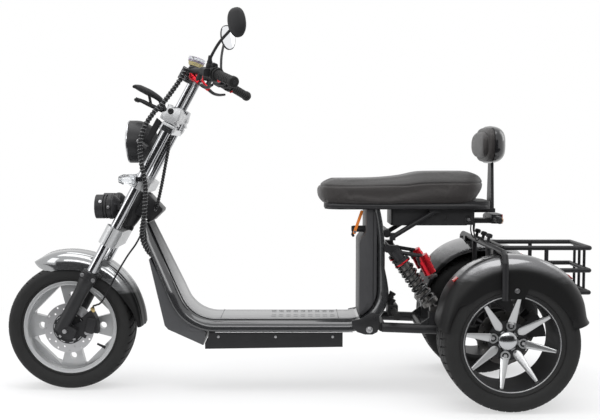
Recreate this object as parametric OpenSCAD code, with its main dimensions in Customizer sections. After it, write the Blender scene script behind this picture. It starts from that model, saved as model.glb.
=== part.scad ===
// Three-wheeled electric scooter with a raked fork, a ribbon body and two wide rear wheels.
// X runs forward, Y to the rider's left and Z up. The origin lies on the floor at the middle of the length.
// Pieces at the front are placed from the front axle, and pieces at the back from the rear axle.

/* [Overall] */
// Length over the front tyre and the basket
overall_length = 2050; // [1950:10:2150]
// Rolling radius of all three tyres
tyre_r = 225; // [215:1:235]
// Distance between the rear tyres' centre planes
rear_track = 510; // [506:1:530]
// Distance from the rear axle to the back of the basket
basket_reach = 325; // [300:5:360]

/* [Tyres and rims] */
// Width of the front tyre
front_tyre_w = 130; // [120:1:134]
// Width of each rear tyre
rear_tyre_w = 195; // [180:1:200]
// Height of the tyre over the rim's flange
sidewall = 57; // [50:1:62]
// Width of the front rim
front_rim_w = 96; // [90:1:100]
// Width of each rear rim
rear_rim_w = 160; // [150:1:164]

/* [Fork] */
// Rake of the fork from upright
rake = 28.5; // [27:0.5:30]
// Distance of each fork leg from the middle plane
leg_y = 98; // [96:1:104]
// Distance of the fork legs ahead of the steering axis
leg_x = 18; // [16:1:22]
// Diameter of the fork tubes
tube_d = 34; // [32:1:36]

/* [Body] */
// Width of the ribbon body
body_w = 220; // [200:5:230]
// Thickness of the ribbon body
body_t = 44; // [40:1:48]
// Height of the deck over the axles
deck_rise = 37; // [34:1:44]
// Lean of the neck from upright
neck_lean = 24.7; // [24:0.1:26]

/* [Seat] */
// Length of the seat cushion
seat_len = 575; // [540:5:600]
// Width of the seat cushion
seat_w = 280; // [250:5:290]
// Height of the cushion under the rider
seat_h = 90; // [80:1:100]
// Height of the cushion under the passenger
rear_seat_h = 122; // [110:1:130]

/* [Hidden] */
$fn = 64;

// Axles
wheelbase = overall_length - tyre_r - basket_reach;
front_x = overall_length / 2 - tyre_r;
rear_x = front_x - wheelbase;
rear_y = rear_track / 2;

// Running fits, gaps between skins and the clearance for a cut
run_gap = 0.05;
skin_gap = 0.3;
seat_gap = 0.6;
cut = 1;

// Rims, brakes and axles
rim_lip = 16;
rim_wall = 8;
flange_w = 6;
flange_r = tyre_r - sidewall;
rim_r = flange_r - rim_lip;
bead_gap = 12;
disc_t = 4;
front_disc_r = 0.58 * rim_r;
rear_disc_r = 0.592 * rim_r;
front_hub_half = 57;
hub_bore = 40;
disc_room = 6;
axle_d = 15;
stub_d = 20;

// Ribbon body: bends, in the plane of X and Z
deck_z = tyre_r + deck_rise;
bend_f_r = 125;
bend_f = [front_x - 519, deck_z + bend_f_r];
bend_r_r = 104;
bend_r = [rear_x + 520, deck_z + bend_r_r];
neck_len = 282;
neck_phi = -neck_lean;
// How far each side of the neck comes in at its top
neck_taper = 51;
riser_len = 282;
bend_steps = 24;
neck_steps = 8;
cover_t = 6;
cover_w = body_w - 50;
// Length of the neck that the cover leaves bare
cover_short = 40;

// Column in front of the riser
column_front = bend_r.x - 42;
column_w = body_w - 24;
column_top = bend_r.y + riser_len;
riser_back = bend_r.x - bend_r_r - body_t;

// Fork heights, measured up the fork from the axle
slider_lo = -12;
slider_hi = tyre_r - 3;
slider_d = tube_d + 12;
collar_h = 38;
collar_d = slider_d + 10;
tube_in = 120;
lower_yoke_s = [330, 398];
head_s = [401, 552];
head_d = 50;
top_yoke_s = [555, 592];
bracket_s = [775, 865];
stem_d = 25;
// Gusset box behind the steering head: corner and size in the fork's frame
gusset_at = [-112, -40, 420];
gusset = [100, 80, 72];

// Seat and what it carries
seat_x = bend_r.x + 108;
seat_rear = seat_x - seat_len;
pan_z = [column_top, column_top + 27.5];
seat_z = pan_z[1] + skin_gap;
pan_short = 30;
seat_corner = 80;
battery = [seat_rear + 47, 168, 58];
backrest = [260, 126];
backrest_z = column_top + 224;
backrest_x = seat_rear - 33;
pad_t = 72;
shell_t = 32;
post = [10, 40, 212];

// Rear suspension, from the rear axle
pivot = [400, 13];
arm_y = 112;
arm_d = 34;
arm_cross = [260, 7];
shock_y = 95;
shock_top = [rear_x + 360, shock_y, tyre_r + 283];
shock_low = [rear_x + 218, shock_y, tyre_r + 79];
spring_r = 24.5;
spring_wire = 9;
spring_turns = 7;
motor_r = 75;
motor_half = 90;

// Rear fenders, hoop and basket
fender_gap = 58;
fender_r = tyre_r + fender_gap;
fender_t = 4;
fender_in = rear_y - 113;
fender_out = rear_y + 107;
fender_round = 52;
// Angles of the crown and of the side valance, from the front
crown_arc = [18, 134];
valance_arc = [40, 111];
// Circle that the valance's lower edge follows: its drop under the axle and radius
valance_edge = [15, tyre_r - 17];
hoop_x = rear_x + 35;
hoop_d = 20;
hoop_top = tyre_r + fender_r + fender_t + 12;
hoop_leg = fender_out + 11;
rail = 16;
basket_half = 108;
basket_z = [hoop_top - 165, hoop_top - 88, hoop_top - 10];

// Handlebar: its middle, the bend and the end of the left half
bar_d = 22;
bar_mid = [front_x - 423, 80, tyre_r + 897];
bar_bend = [front_x - 517, 190, tyre_r + 888];
bar_end = [front_x - 604, 338, tyre_r + 841];
mirror_head = [front_x - 610, 300, tyre_r + 1037];
mirror = [60, 96, 14];

// Lamps, from the front axle
lamp_z = tyre_r + 657;
lamp_r = 75;
lamp_back = front_x - 275;
lamp_depth = 78;
lens_r = 69;
spot_at = [front_x - 166, 62, tyre_r + 430];
spot_r = 42;
spot_len = 62;
blinker_at = [front_x - 260, 146, tyre_r + 527];

// Front fender
front_fender_r = tyre_r + 43;
front_fender_half = front_tyre_w / 2 + 10;
front_fender_t = 4;
front_fender_round = 30;
// Circle that the front fender's lower edge follows: its drop under the axle and radius
front_fender_edge = [25, tyre_r + 8];

// Helpers

// A piece and its mirror image across the middle plane
module pair() {
    children();
    mirror([0, 1, 0]) children();
}

// A round bar from a to b
module rod(a, b, d) {
    v = b - a;
    h = norm(v);
    translate(a) rotate([0, acos(v.z / h), atan2(v.y, v.x)]) cylinder(d = d, h = h);
}

// A bent tube through the points, with round elbows
module bent_tube(points, d) {
    for (i = [1 : len(points) - 1]) rod(points[i - 1], points[i], d);
    for (i = [1 : len(points) - 2]) translate(points[i]) sphere(d = d);
}

// Unit vector along v
function unit(v) = v / norm(v);

// Direction of a route at its point i
function heading(p, i) = unit(p[min(i + 1, len(p) - 1)] - p[max(i - 1, 0)]);

// Point at t from 0 to 1 on the smooth curve from p[i] to p[i + 1]
function curve_at(p, i, t) =
    let (a = p[max(i - 1, 0)], b = p[i], c = p[i + 1], d = p[min(i + 2, len(p) - 1)])
    0.5 * (2 * b + (c - a) * t + (2 * a - 5 * b + 4 * c - d) * t * t + (3 * b - a - 3 * c + d) * t * t * t);

// A smooth route through the points, with n steps between two of them
function smooth_route(p, n) = concat(
    [for (i = [0 : len(p) - 2], k = [0 : n - 1]) curve_at(p, i, k / n)], [p[len(p) - 1]]);

// A round tube swept along a route, closed at both ends; the route never runs along the direction across
module swept_tube(route, d, sides, across) {
    last = len(route) - 1;
    rings = [for (i = [0 : last]) let (
        along = heading(route, i),
        side = unit(cross(along, across)),
        other = cross(along, side))
        for (k = [0 : sides - 1]) let (a = 360 * k / sides)
            route[i] + d / 2 * (cos(a) * side + sin(a) * other)];
    skin(rings, sides);
}

// A closed skin over rings of n points each, one ring after the other
module skin(points, n) {
    last = len(points) / n - 1;
    walls = [for (i = [0 : last - 1], k = [0 : n - 1])
        let (a = i * n + k, b = i * n + (k + 1) % n) [a, a + n, b + n, b]];
    caps = [[for (k = [0 : n - 1]) k], [for (k = [0 : n - 1]) (last + 1) * n - 1 - k]];
    polyhedron(points, concat(walls, caps));
}

// A rectangle with round corners, centred
module round_rect(w, h, r) {
    square([w - 2 * r, h], center = true);
    square([w, h - 2 * r], center = true);
    for (x = [-1, 1], y = [-1, 1]) translate([x * (w / 2 - r), y * (h / 2 - r)]) circle(r);
}

// A box with round upright edges, centred in X and Y, standing on z = 0
module round_box(size, r) {
    linear_extrude(size.z) round_rect(size.x, size.y, r);
}

// The fork's own frame: origin on the front axle, +Z up the fork
module on_fork() {
    translate([front_x, 0, tyre_r]) rotate([0, -rake, 0]) children();
}

// A frame with its origin on the front axle
module at_front() {
    translate([front_x, 0, tyre_r]) children();
}

// A frame with its origin on the rear axle
module at_back() {
    translate([rear_x, 0, tyre_r]) children();
}

// A turned piece with its axis along +X
module along_x() {
    rotate([0, 90, 0]) children();
}

// A turned piece with its axis along +Y
module along_y() {
    rotate([-90, 0, 0]) children();
}

// Outward direction of the ribbon at the angle phi of a bend, in the plane of X and Z
function outward(phi) = [cos(phi), 0, sin(phi)];

// Stations of the ribbon's middle line, as place, outward direction and width. The inner face of the front
// bend has the radius r_in; the neck narrows from w to w - 2 * neck_taper over its length
function ribbon_bend(c, r, from, to, w) = [for (k = [0 : bend_steps])
    let (phi = from + (to - from) * k / bend_steps)
    [[c.x, 0, c.y] + r * outward(phi), outward(phi), w]];
function ribbon_neck(r, length, w) = let (up = [sin(neck_lean), 0, cos(neck_lean)])
    [for (k = [neck_steps : -1 : 1]) let (f = k / neck_steps)
    [[bend_f.x, 0, bend_f.y] + r * outward(neck_phi) + f * length * up, outward(neck_phi),
        w - 2 * neck_taper * max(0, f * length / neck_len - 0.12) / 0.88]];

// A ribbon of thickness t with round edges through its stations
module ribbon(stations, t) {
    n = 10;
    section = [for (half = [0, 1], k = [0 : n]) let (a = -90 + 180 * half + 180 * k / n)
        [sin(a), cos(a), 1 - 2 * half]];
    rings = [for (st = stations, q = section)
        st[0] + t / 2 * q[0] * st[1] + [0, t / 2 * q[1] + q[2] * (st[2] - t) / 2, 0]];
    skin(rings, 2 * n + 2);
}

// The gusset box behind the steering head
module gusset_box() {
    on_fork() translate(gusset_at) cube(gusset);
}

// Frame

module body_pan() {
    r_f = bend_f_r + body_t / 2;
    r_r = bend_r_r + body_t / 2;
    riser_top = [[bend_r.x - r_r, 0, column_top], outward(-180), body_w];
    plate = [130, 10, 92];
    head_face = gusset_at.x + gusset.x;
    color("dimgray") difference() {
        union() {
            ribbon(concat(ribbon_neck(r_f, neck_len, body_w), ribbon_bend(bend_f, r_f, neck_phi, -90, body_w),
                ribbon_bend(bend_r, r_r, -90, -180, body_w), [riser_top]), body_t);
            difference() {
                at_back() pair() translate([pivot.x - plate.x / 2, 60, -10]) cube(plate);
                column_room();
            }
        }
        gusset_box();
        on_fork() translate([head_face - run_gap, -body_w, lower_yoke_s[0]]) cube(2 * body_w);
        swing_tube();
    }
}

// Space inside the riser's bend, where the pivot plates stop
module column_room() {
    translate([bend_r.x, -body_w / 2, bend_r.y]) along_y()
        cylinder(r = bend_r_r + body_t / 2, h = body_w, $fn = 96);
}

module body_cover() {
    r = bend_f_r - skin_gap - cover_t / 2;
    deck_end = [[bend_r.x - cover_t, 0, bend_f.y - r], outward(-90), cover_w];
    color("gray") difference() {
        ribbon(concat(ribbon_neck(r, neck_len - cover_short, cover_w),
            ribbon_bend(bend_f, r, neck_phi, -90, cover_w), [deck_end]), cover_t);
        gusset_box();
    }
}

module column_cover() {
    back = bend_r.x - bend_r_r + skin_gap;
    depth = column_front - back;
    edge = 18;
    rib = 8;
    color("#3a3a3c") difference() {
        intersection() {
            translate([back, 0, deck_z]) linear_extrude(column_top - deck_z) difference() {
                translate([depth / 2 - edge, 0]) round_rect(depth + 2 * edge, column_w, edge);
                translate([-4 * edge, -column_w]) square([4 * edge, 2 * column_w]);
            }
            union() {
                translate([bend_r.x, -body_w / 2, bend_r.y]) along_y()
                    cylinder(r = bend_r_r - skin_gap, h = body_w, $fn = 96);
                translate([back, -body_w / 2, bend_r.y]) cube([2 * depth, body_w, riser_len]);
            }
        }
        pair() translate([column_front - 3 * rib, column_w / 2 - 2, deck_z]) cube([rib, rib, 2 * riser_len]);
    }
}

module under_tray() {
    top = deck_z - body_t;
    depth = 52;
    w = body_w - 30;
    slope = 26;
    from = bend_r.x + 15;
    to = bend_f.x + 32;
    color("#202020") difference() {
        translate([0, w / 2, top]) rotate([90, 0, 0]) linear_extrude(w)
            polygon([[from, 0], [from + slope, -depth], [to, -depth], [to, 0]]);
        for (y = [-w / 3, 0, w / 3]) translate([from + 2 * slope, y - 9, top - depth - cut])
            cube([to - from - 3 * slope, 18, 5]);
    }
}

module front_deflector() {
    w = body_w - 50;
    f = [bend_f.x - front_x, bend_f.y - tyre_r];
    outline = [[-288, 245], [-341, 13], [-353, -1], [-476, -57], [-486, -11], [-400, 75], [-295, 255]];
    color("#4a4a4c") at_front() difference() {
        translate([0, w / 2, 0]) rotate([90, 0, 0]) linear_extrude(w) polygon(outline);
        translate([f.x, -w, f.y]) along_y() cylinder(r = bend_f_r + body_t, h = 2 * w, $fn = 96);
        translate([f.x, 0, f.y]) rotate([90, 0, 0]) rotate([0, 0, neck_phi]) rotate([-90, 0, 0])
            translate([0, -w, 0]) cube([bend_f_r + body_t, 2 * w, 2 * neck_len]);
        translate([f.x - w, -w, deck_rise - body_t]) cube([w + 2 * body_t, 2 * w, w]);
        translate([f.x - w, -w, -w]) cube([w + 32.5, 2 * w, 2 * w]);
    }
}

module steering_head() {
    lip = 6;
    color("#303032") difference() {
        union() {
            on_fork() translate([0, 0, head_s[0]]) cylinder(d = head_d, h = head_s[1] - head_s[0]);
            on_fork() for (s = [head_s[0], head_s[1] - 2 * lip]) translate([0, 0, s])
                cylinder(d = head_d + lip, h = 2 * lip);
            gusset_box();
        }
        on_fork() translate([0, 0, head_s[0] - cut]) cylinder(d = stem_d + 2 * run_gap, h = head_s[1]);
    }
}

module seat_struts() {
    y = 98;
    foot = [36, 16];
    d = 17;
    color("#1c1c1e") pair() {
        rod([riser_back - 10, y, column_top - 96], [seat_rear + 165, y, column_top - 7], d);
        translate([riser_back - 18, y - 24, column_top - 108]) cube([18, 32, 24]);
        translate([seat_rear + 165 - foot.x / 2, y - foot.y / 2, column_top - 14]) cube([foot.x, foot.y, 14]);
    }
}

module seat_pan() {
    h = pan_z[1] - pan_z[0];
    w = seat_w - 40;
    length = seat_len + 3;
    rib = 5;
    color("#1a1a1a") translate([seat_x - pan_short - length / 2, 0, pan_z[0]]) difference() {
        round_box([length, w, h], 60);
        for (x = [-length / 4, length / 4]) pair() translate([x, w / 2 - rib, h / 2])
            cube([length / 3, 2 * rib, rib], center = true);
    }
}

// Side view of the cushion: the rider's part, a ramp and the higher passenger's part
module seat_side() {
    ramp = 0.52 * seat_len;
    rise = rear_seat_h - seat_h;
    nose = 34;
    toe = 12;
    polygon([[0, toe], [0, seat_h - nose], [-nose / 3, seat_h - nose / 3], [-nose, seat_h], [-ramp, seat_h],
        [-ramp - rise, rear_seat_h], [nose - seat_len, rear_seat_h],
        [nose / 3 - seat_len, rear_seat_h - nose / 3], [-seat_len, rear_seat_h - nose],
        [-seat_len, toe], [toe - seat_len, 0], [-toe, 0]]);
}

module seat_cushion() {
    shoulder = 40;
    color("#2b2826") translate([seat_x, 0, seat_z]) intersection() {
        translate([-seat_len / 2, 0, 0]) round_box([seat_len, seat_w, rear_seat_h], seat_corner);
        translate([0, seat_w / 2, 0]) rotate([90, 0, 0]) linear_extrude(seat_w) seat_side();
        rotate([90, 0, -90]) linear_extrude(seat_len) round_rect(seat_w, 2 * rear_seat_h, shoulder);
    }
}

module battery_box() {
    length = riser_back - 6 - battery.x;
    edge = 14;
    color("#5a5a5a") difference() {
        translate([battery.x + length / 2, 0, column_top - battery.z])
            round_box([length, battery.y, battery.z], edge);
        translate([battery.x + length / 2 - 50, battery.y / 2 - 3, column_top - battery.z / 2]) along_y()
            cylinder(d = 26, h = 2 * edge);
    }
}

module backrest_post() {
    x = seat_rear - 53;
    foot = [98, 120, 14];
    color("#1c1c1e") {
        translate([x, 0, column_top - foot.z]) rotate([90, 0, 90]) linear_extrude(post.x)
            polygon([[-post.y, 0], [post.y, 0], [post.y / 2, post.z], [-post.y / 2, post.z]]);
        translate([x, -foot.y / 2, column_top - foot.z]) cube(foot);
    }
}

module backrest_shell() {
    back = 50;
    color("#101012") difference() {
        intersection() {
            translate([backrest_x - shell_t, 0, backrest_z]) along_x()
                round_box([backrest.y, backrest.x, shell_t], back);
            translate([backrest_x, backrest.x / 2, backrest_z]) rotate([90, 0, 0]) linear_extrude(backrest.x)
                round_rect(2 * shell_t, backrest.y, 30);
        }
        backrest_post();
    }
}

module backrest_pad() {
    corner = 50;
    seam = 2;
    color("#55504c") translate([backrest_x + skin_gap, 0, backrest_z]) difference() {
        intersection() {
            along_x() round_box([backrest.y, backrest.x, pad_t], corner);
            translate([0, backrest.x / 2, 0]) rotate([90, 0, 0]) linear_extrude(backrest.x)
                round_rect(2 * pad_t, backrest.y, 36);
        }
        translate([pad_t / 2, 0, 0]) along_x() linear_extrude(2 * seam) difference() {
            square(2 * backrest.x, center = true);
            round_rect(backrest.y - 2 * seam, backrest.x - 2 * seam, corner);
        }
    }
}

module tail_lamp() {
    lamp = [40, 110, 32];
    arm = [92, 60, 16];
    z = column_top - 54;
    edge = 10;
    color("#8a1010") translate([seat_rear - 83 + lamp.x / 2, 0, z]) round_box(lamp, edge);
    color("#1c1c1e") translate([seat_rear - 45, -arm.y / 2, z]) cube(arm);
}

module rear_indicators() {
    x = seat_rear - 58;
    z = column_top - 38;
    d = 26;
    stalk = [14, 8, 12];
    color("#c26a18") pair() translate([x, 62, z]) along_y() {
        cylinder(d = d, h = 48);
        translate([0, 0, 47]) cylinder(d1 = d, d2 = d - 10, h = 13);
    }
    color("#1c1c1e") pair() translate([x - stalk.x / 2, 55, z - stalk.z / 2]) cube(stalk);
}

module swing_tube() {
    at_back() rod([pivot.x, -arm_y, pivot.y], [pivot.x, arm_y, pivot.y], 30);
}

module axle_blocks() {
    at_back() pair() translate([10, arm_y - 20, -20]) cube([62, 40, 40]);
}

module swingarm() {
    lug = [36, 40, 54];
    web = 6;
    color("#1c1c1e") difference() {
        union() {
            at_back() {
                pair() rod([pivot.x, arm_y, pivot.y], [50, arm_y, 0], arm_d);
                rod([arm_cross.x, -arm_y, arm_cross.y], [arm_cross.x, arm_y, arm_cross.y], 26);
                pair() translate([200, arm_y - 31, 11]) cube(lug);
                pair() translate([0, arm_y + web / 2, 0]) rotate([90, 0, 0]) linear_extrude(web)
                    polygon([[120, 0], [205, 52], [231, 52], [300, 0]]);
            }
            swing_tube();
        }
        axle_blocks();
    }
}

// Motor housing: a turned drum with cooling fins between two flanges
module motor_drum() {
    fin = 4;
    pitch = 12;
    difference() {
        cylinder(r = motor_r, h = 2 * motor_half, center = true);
        for (z = [-motor_half + 2 * pitch : pitch : motor_half - 2 * pitch]) translate([0, 0, z - fin])
            difference() {
                cylinder(r = motor_r + cut, h = 2 * fin);
                translate([0, 0, -cut]) cylinder(r = motor_r - 8, h = 2 * fin + 2 * cut);
            }
    }
}

module rear_axle() {
    tube_half = rear_y - 85;
    stub = rear_y + 12;
    color("#242426") {
        at_back() {
            translate([0, -tube_half, 0]) along_y() cylinder(d = 60, h = 2 * tube_half);
            along_y() motor_drum();
            translate([0, -stub, 0]) along_y() cylinder(d = stub_d, h = 2 * stub);
        }
        axle_blocks();
    }
}

function shock_at(k) = shock_top + k * (shock_low - shock_top);

module shock_dampers() {
    plate_d = 58;
    eye = [28, 28];
    color("#28282a") pair() {
        rod(shock_at(0.02), shock_at(0.60), 38);
        rod(shock_at(0.55), shock_at(0.98), 16);
        rod(shock_at(0.88), shock_at(0.93), plate_d);
        rod(shock_at(0.20), shock_at(0.24), plate_d);
        translate([shock_top.x - 18, shock_y - eye.y / 2, shock_top.z - 14])
            cube([riser_back - shock_top.x + 18, eye.y, 28]);
        translate([shock_low.x - eye.x / 2, shock_y - eye.y / 2, shock_low.z - 14]) cube([eye.x, eye.y, 20]);
    }
}

// Coil springs: a helix about the shock's axis, 12 rings to the turn
module shock_springs() {
    along = unit(shock_low - shock_top);
    side = [0, 1, 0];
    other = cross(along, side);
    first = shock_at(0.24) + (spring_wire / 2 + skin_gap) * along;
    last = shock_at(0.88) - (spring_wire / 2 + skin_gap) * along;
    steps = 12 * spring_turns;
    route = [for (i = [0 : steps]) first + i / steps * (last - first)
        + spring_r * (cos(30 * i) * side + sin(30 * i) * other)];
    color("#151515") pair() swept_tube(route, spring_wire, 8, along);
}

module shock_reservoirs() {
    d = 43;
    color("#b01018") difference() {
        at_back() pair() {
            rod([263, shock_y, 261], [230, shock_y, 199], d);
            rod([255, shock_y, 246], [250, shock_y, 237], d + 5);
            rod([260, shock_y, 259], [350, shock_y, 274], 14);
        }
        shock_dampers();
    }
}

module fender_arc(from, sweep) {
    at_back() rotate([90, 0, 0]) rotate([0, 0, from]) rotate_extrude(angle = sweep, $fn = 96) children();
}

// Section of a rear fender: a flat crown, a rounded shoulder and a rolled inner edge
module crown_section() {
    w = fender_out - fender_in;
    lip = 12;
    translate([fender_r, 0]) square([fender_t, w - fender_round]);
    translate([fender_r - lip, 0]) square([lip + fender_t, 3]);
    translate([fender_r + fender_t - fender_round - lip, w - fender_t]) square([lip, fender_t]);
    translate([fender_r + fender_t - fender_round, w - fender_round]) intersection() {
        difference() {
            circle(fender_round);
            circle(fender_round - fender_t);
        }
        square(fender_round);
    }
}

module left_fender() {
    deep = fender_r + fender_t - fender_round;
    tab = [100, fender_t, 70];
    fender_arc(crown_arc[0], crown_arc[1]) mirror([0, 1]) translate([0, fender_in]) crown_section();
    difference() {
        fender_arc(valance_arc[0], valance_arc[1]) mirror([0, 1])
            translate([deep / 2, fender_out - fender_t + 0.5]) square([deep / 2 - 6, fender_t - 1]);
        at_back() translate([0, 0, -valance_edge[0]]) along_y()
            cylinder(r = valance_edge[1], h = 2 * fender_out);
    }
    at_back() translate([-tab.x / 2, fender_out - fender_t, tyre_r - 80]) cube(tab);
}

module rear_fenders() {
    color("#1b1b1d") pair() left_fender();
}

module fender_hoop() {
    foot = 2 * tyre_r - 75;
    bend = 30;
    half = [[hoop_x, hoop_leg, foot], [hoop_x, hoop_leg, hoop_top - bend],
        [hoop_x, hoop_leg - 0.3 * bend, hoop_top - 0.3 * bend], [hoop_x, hoop_leg - bend, hoop_top]];
    pad = [30, 30];
    lug = [14, 14, 20];
    pad_y = rear_y - 25;
    color("#1c1c1e") difference() {
        union() {
            swept_tube(concat([for (p = half) [p.x, -p.y, p.z]], [for (i = [3 : -1 : 0]) half[i]]),
                hoop_d, 16, [1, 0, 0]);
            pair() translate([hoop_x - lug.x / 2, fender_out + skin_gap, foot + 12]) cube(lug);
            pair() translate([hoop_x - pad.x / 2, pad_y, hoop_top - 34]) cube([pad.x, pad.y, 34]);
            pair() rod([hoop_x, 118, tyre_r + 20], [hoop_x, 118, hoop_top], 18);
        }
        at_back() pair() translate([0, pad_y - pad.y, 0]) along_y()
            cylinder(r = fender_r + fender_t + seat_gap, h = 3 * pad.y, $fn = 96);
    }
}

module basket() {
    front = rear_x - 20;
    back = rail / 2 - overall_length / 2;
    mid = (front + back) / 2;
    lo = basket_z[0];
    hi = basket_z[2];
    color("#1a1a1a") difference() {
        union() {
            for (z = basket_z) bent_tube([[front, -basket_half, z], [back, -basket_half, z],
                [back, basket_half, z], [front, basket_half, z]], rail);
            for (y = [-basket_half, basket_half], x = [front, mid]) rod([x, y, lo], [x, y, hi], rail - 2);
            for (y = [-0.5, 0, 0.5]) rod([back, y * basket_half, lo], [back, y * basket_half, hi], 10);
            for (i = [-2 : 2]) rod([front, i * basket_half / 3, lo], [back, i * basket_half / 3, lo], 8);
            for (z = [lo, hi]) rod([front, -basket_half, z], [front, basket_half, z], rail - 2);
            pair() rod([front, 0.815 * basket_half, hi], [hoop_x, 0.815 * basket_half, hi + 6], rail - 4);
        }
        fender_hoop();
    }
}

module bag_hook() {
    socket = [14, 24, 46];
    z = column_top - 88;
    x = column_front + skin_gap;
    color("#c8641a") translate([x + socket.x / 2, 0, z]) round_box([socket.x, socket.y, socket.z], 5);
    color("#c8641a") rod([x + 9, 0, z + 36], [x + 8, 0, z + 80], 10);
}

module foot_pegs() {
    d = 24;
    peg = [355, 63];
    groove = 3;
    color("#202020") at_back() pair() difference() {
        rod([peg.x, 70, peg.y], [peg.x, 190, peg.y], d);
        for (y = [110 : 14 : 180]) translate([peg.x, y, peg.y]) along_y() difference() {
            cylinder(d = d + cut, h = 2 * groove);
            translate([0, 0, -cut]) cylinder(d = d - groove, h = 3 * groove + cut);
        }
    }
}

// Box of a calliper: its outer edge follows the rim, with a slot for the disc
module calliper_box(r_in, r_out, from, sweep, w) {
    rotate([0, 0, from]) rotate_extrude(angle = sweep, $fn = 96)
        translate([r_in, 0]) square([r_out - r_in, w]);
}

module rear_callipers() {
    r = [0.45 * rim_r, rim_r - 20];
    w = 70;
    plate = 8;
    color("#202022") at_back() pair() difference() {
        union() {
            translate([0, rear_y - 9, 0]) rotate([90, 0, 0]) calliper_box(r[0], r[1], 140, 36, w);
            translate([0, rear_y - 77, 0]) rotate([90, 0, 0]) calliper_box(25, r[1] - 12, 132, 52, plate);
        }
        translate([0, rear_y - 34 - 7, 0]) along_y() cylinder(r = rear_disc_r + disc_room, h = disc_t + 14);
    }
}

// Steering

module fork_sliders() {
    lug = [52, 28, 40];
    fin = 3;
    color("#161617") on_fork() difference() {
        pair() {
            translate([leg_x, leg_y, slider_lo]) cylinder(d = slider_d, h = slider_hi - slider_lo);
            translate([leg_x, leg_y, slider_hi - collar_h]) cylinder(d = collar_d, h = collar_h);
            translate([leg_x, leg_y, slider_hi - 2 * collar_h])
                cylinder(d1 = slider_d, d2 = collar_d, h = collar_h);
            translate([leg_x - lug.x, leg_y - lug.y / 2, -lug.z / 2]) cube(lug);
        }
        pair() translate([leg_x, leg_y, slider_hi - tube_in]) cylinder(d = tube_d, h = 2 * tube_in);
        pair() for (k = [1 : 3]) translate([leg_x, leg_y, slider_hi - 10 * k]) difference() {
            cylinder(d = collar_d + cut, h = fin);
            translate([0, 0, -cut]) cylinder(d = collar_d - fin, h = fin + 2 * cut);
        }
        translate([0, -2 * leg_y, 0]) along_y() cylinder(d = axle_d, h = 4 * leg_y);
    }
}

module fork_tubes() {
    color("silver") on_fork() pair() translate([leg_x, leg_y, slider_hi - tube_in])
        cylinder(d = tube_d, h = bracket_s[0] - slider_hi + tube_in);
}

// Plan of a yoke: two round clamps and a waisted bridge between them
module yoke_plan(clamp_d, back, front) {
    waist = 10;
    for (y = [-leg_y, leg_y]) translate([leg_x, y]) circle(d = clamp_d);
    polygon([[back, -leg_y], [front, -leg_y], [front - waist, -leg_y / 2], [front - waist, leg_y / 2],
        [front, leg_y], [back, leg_y]]);
}

module lower_yoke() {
    s = lower_yoke_s;
    slot = 4;
    color("gainsboro") on_fork() difference() {
        union() {
            translate([0, 0, s[0]]) linear_extrude(s[1] - s[0]) yoke_plan(tube_d + 22, -14, 30);
            translate([0, 0, s[0]]) cylinder(d = stem_d, h = top_yoke_s[0] - s[0]);
        }
        pair() translate([leg_x, leg_y, s[0] - cut]) cylinder(d = tube_d, h = 2 * tube_in);
        pair() translate([leg_x - slot / 2, leg_y, s[0] - cut]) cube([slot, tube_d, 2 * tube_in]);
    }
}

module top_yoke() {
    s = top_yoke_s;
    slot = 4;
    color("silver") on_fork() difference() {
        translate([0, 0, s[0]]) linear_extrude(s[1] - s[0]) yoke_plan(tube_d + 20, -20, 32);
        pair() translate([leg_x, leg_y, s[0] - cut]) cylinder(d = tube_d, h = 2 * tube_in);
        pair() translate([leg_x - slot / 2, leg_y, s[0] - cut]) cube([slot, tube_d, 2 * tube_in]);
    }
}

module bracket_plate() {
    on_fork() translate([leg_x + 6, -60, bracket_s[0] + 20]) cube([12, 120, 70]);
}

module handlebar_bracket() {
    s = bracket_s;
    y = 62;
    base = [48, 2 * leg_y + 48, 20];
    clamp = [56, 24, 46];
    color("silver") difference() {
        union() {
            on_fork() translate([leg_x, 0, s[0]]) round_box(base, 8);
            on_fork() pair() translate([leg_x, y, s[0]]) cylinder(d = 40, h = s[1] - s[0]);
            on_fork() pair() translate([leg_x + 6, y, s[1] - cut]) cylinder(d = 24, h = 110);
            on_fork() pair() translate([leg_x, y - clamp.y / 2, s[1] + 93]) cube(clamp);
            bracket_plate();
        }
        bar_middle();
    }
}

bar_along = unit(bar_end - bar_bend);
bar_back = unit(cross([0, 0, 1], bar_along));
bar_up = cross(bar_along, bar_back);

module bar_middle() {
    rod([bar_mid.x, -bar_mid.y, bar_mid.z], bar_mid, bar_d);
}

module handlebar() {
    half = [bar_mid, bar_mid + [-12, 26, 0], bar_bend + [16, -24, 3], bar_bend, bar_end];
    other = [for (i = [len(half) - 1 : -1 : 0]) [half[i].x, -half[i].y, half[i].z]];
    color("#18181a") swept_tube(concat(other, half), bar_d, 16, [0, 0, 1]);
}

module on_bar() {
    translate(bar_bend) rotate([0, acos(bar_along.z), atan2(bar_along.y, bar_along.x)]) children();
}

module grips() {
    from = 46;
    length = 136;
    d = 33;
    rib = 3;
    color("#121212") pair() on_bar() difference() {
        union() {
            translate([0, 0, from]) cylinder(d = d, h = length);
            translate([0, 0, from]) cylinder(d = d + 13, h = 2 * rib);
        }
        translate([0, 0, from - cut]) cylinder(d = bar_d, h = norm(bar_end - bar_bend) - from + cut);
        for (z = [from + 20 : 4 * rib : from + length - 20]) translate([0, 0, z]) difference() {
            cylinder(d = d + cut, h = rib);
            translate([0, 0, -cut]) cylinder(d = d - rib, h = rib + 2 * cut);
        }
    }
}

module switch_box() {
    translate([0, 1, 23]) round_box([36, 42, 22], 9);
}

module switch_housings() {
    color("#1d1d1f") pair() on_bar() difference() {
        switch_box();
        cylinder(d = bar_d, h = 60);
    }
}

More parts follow.
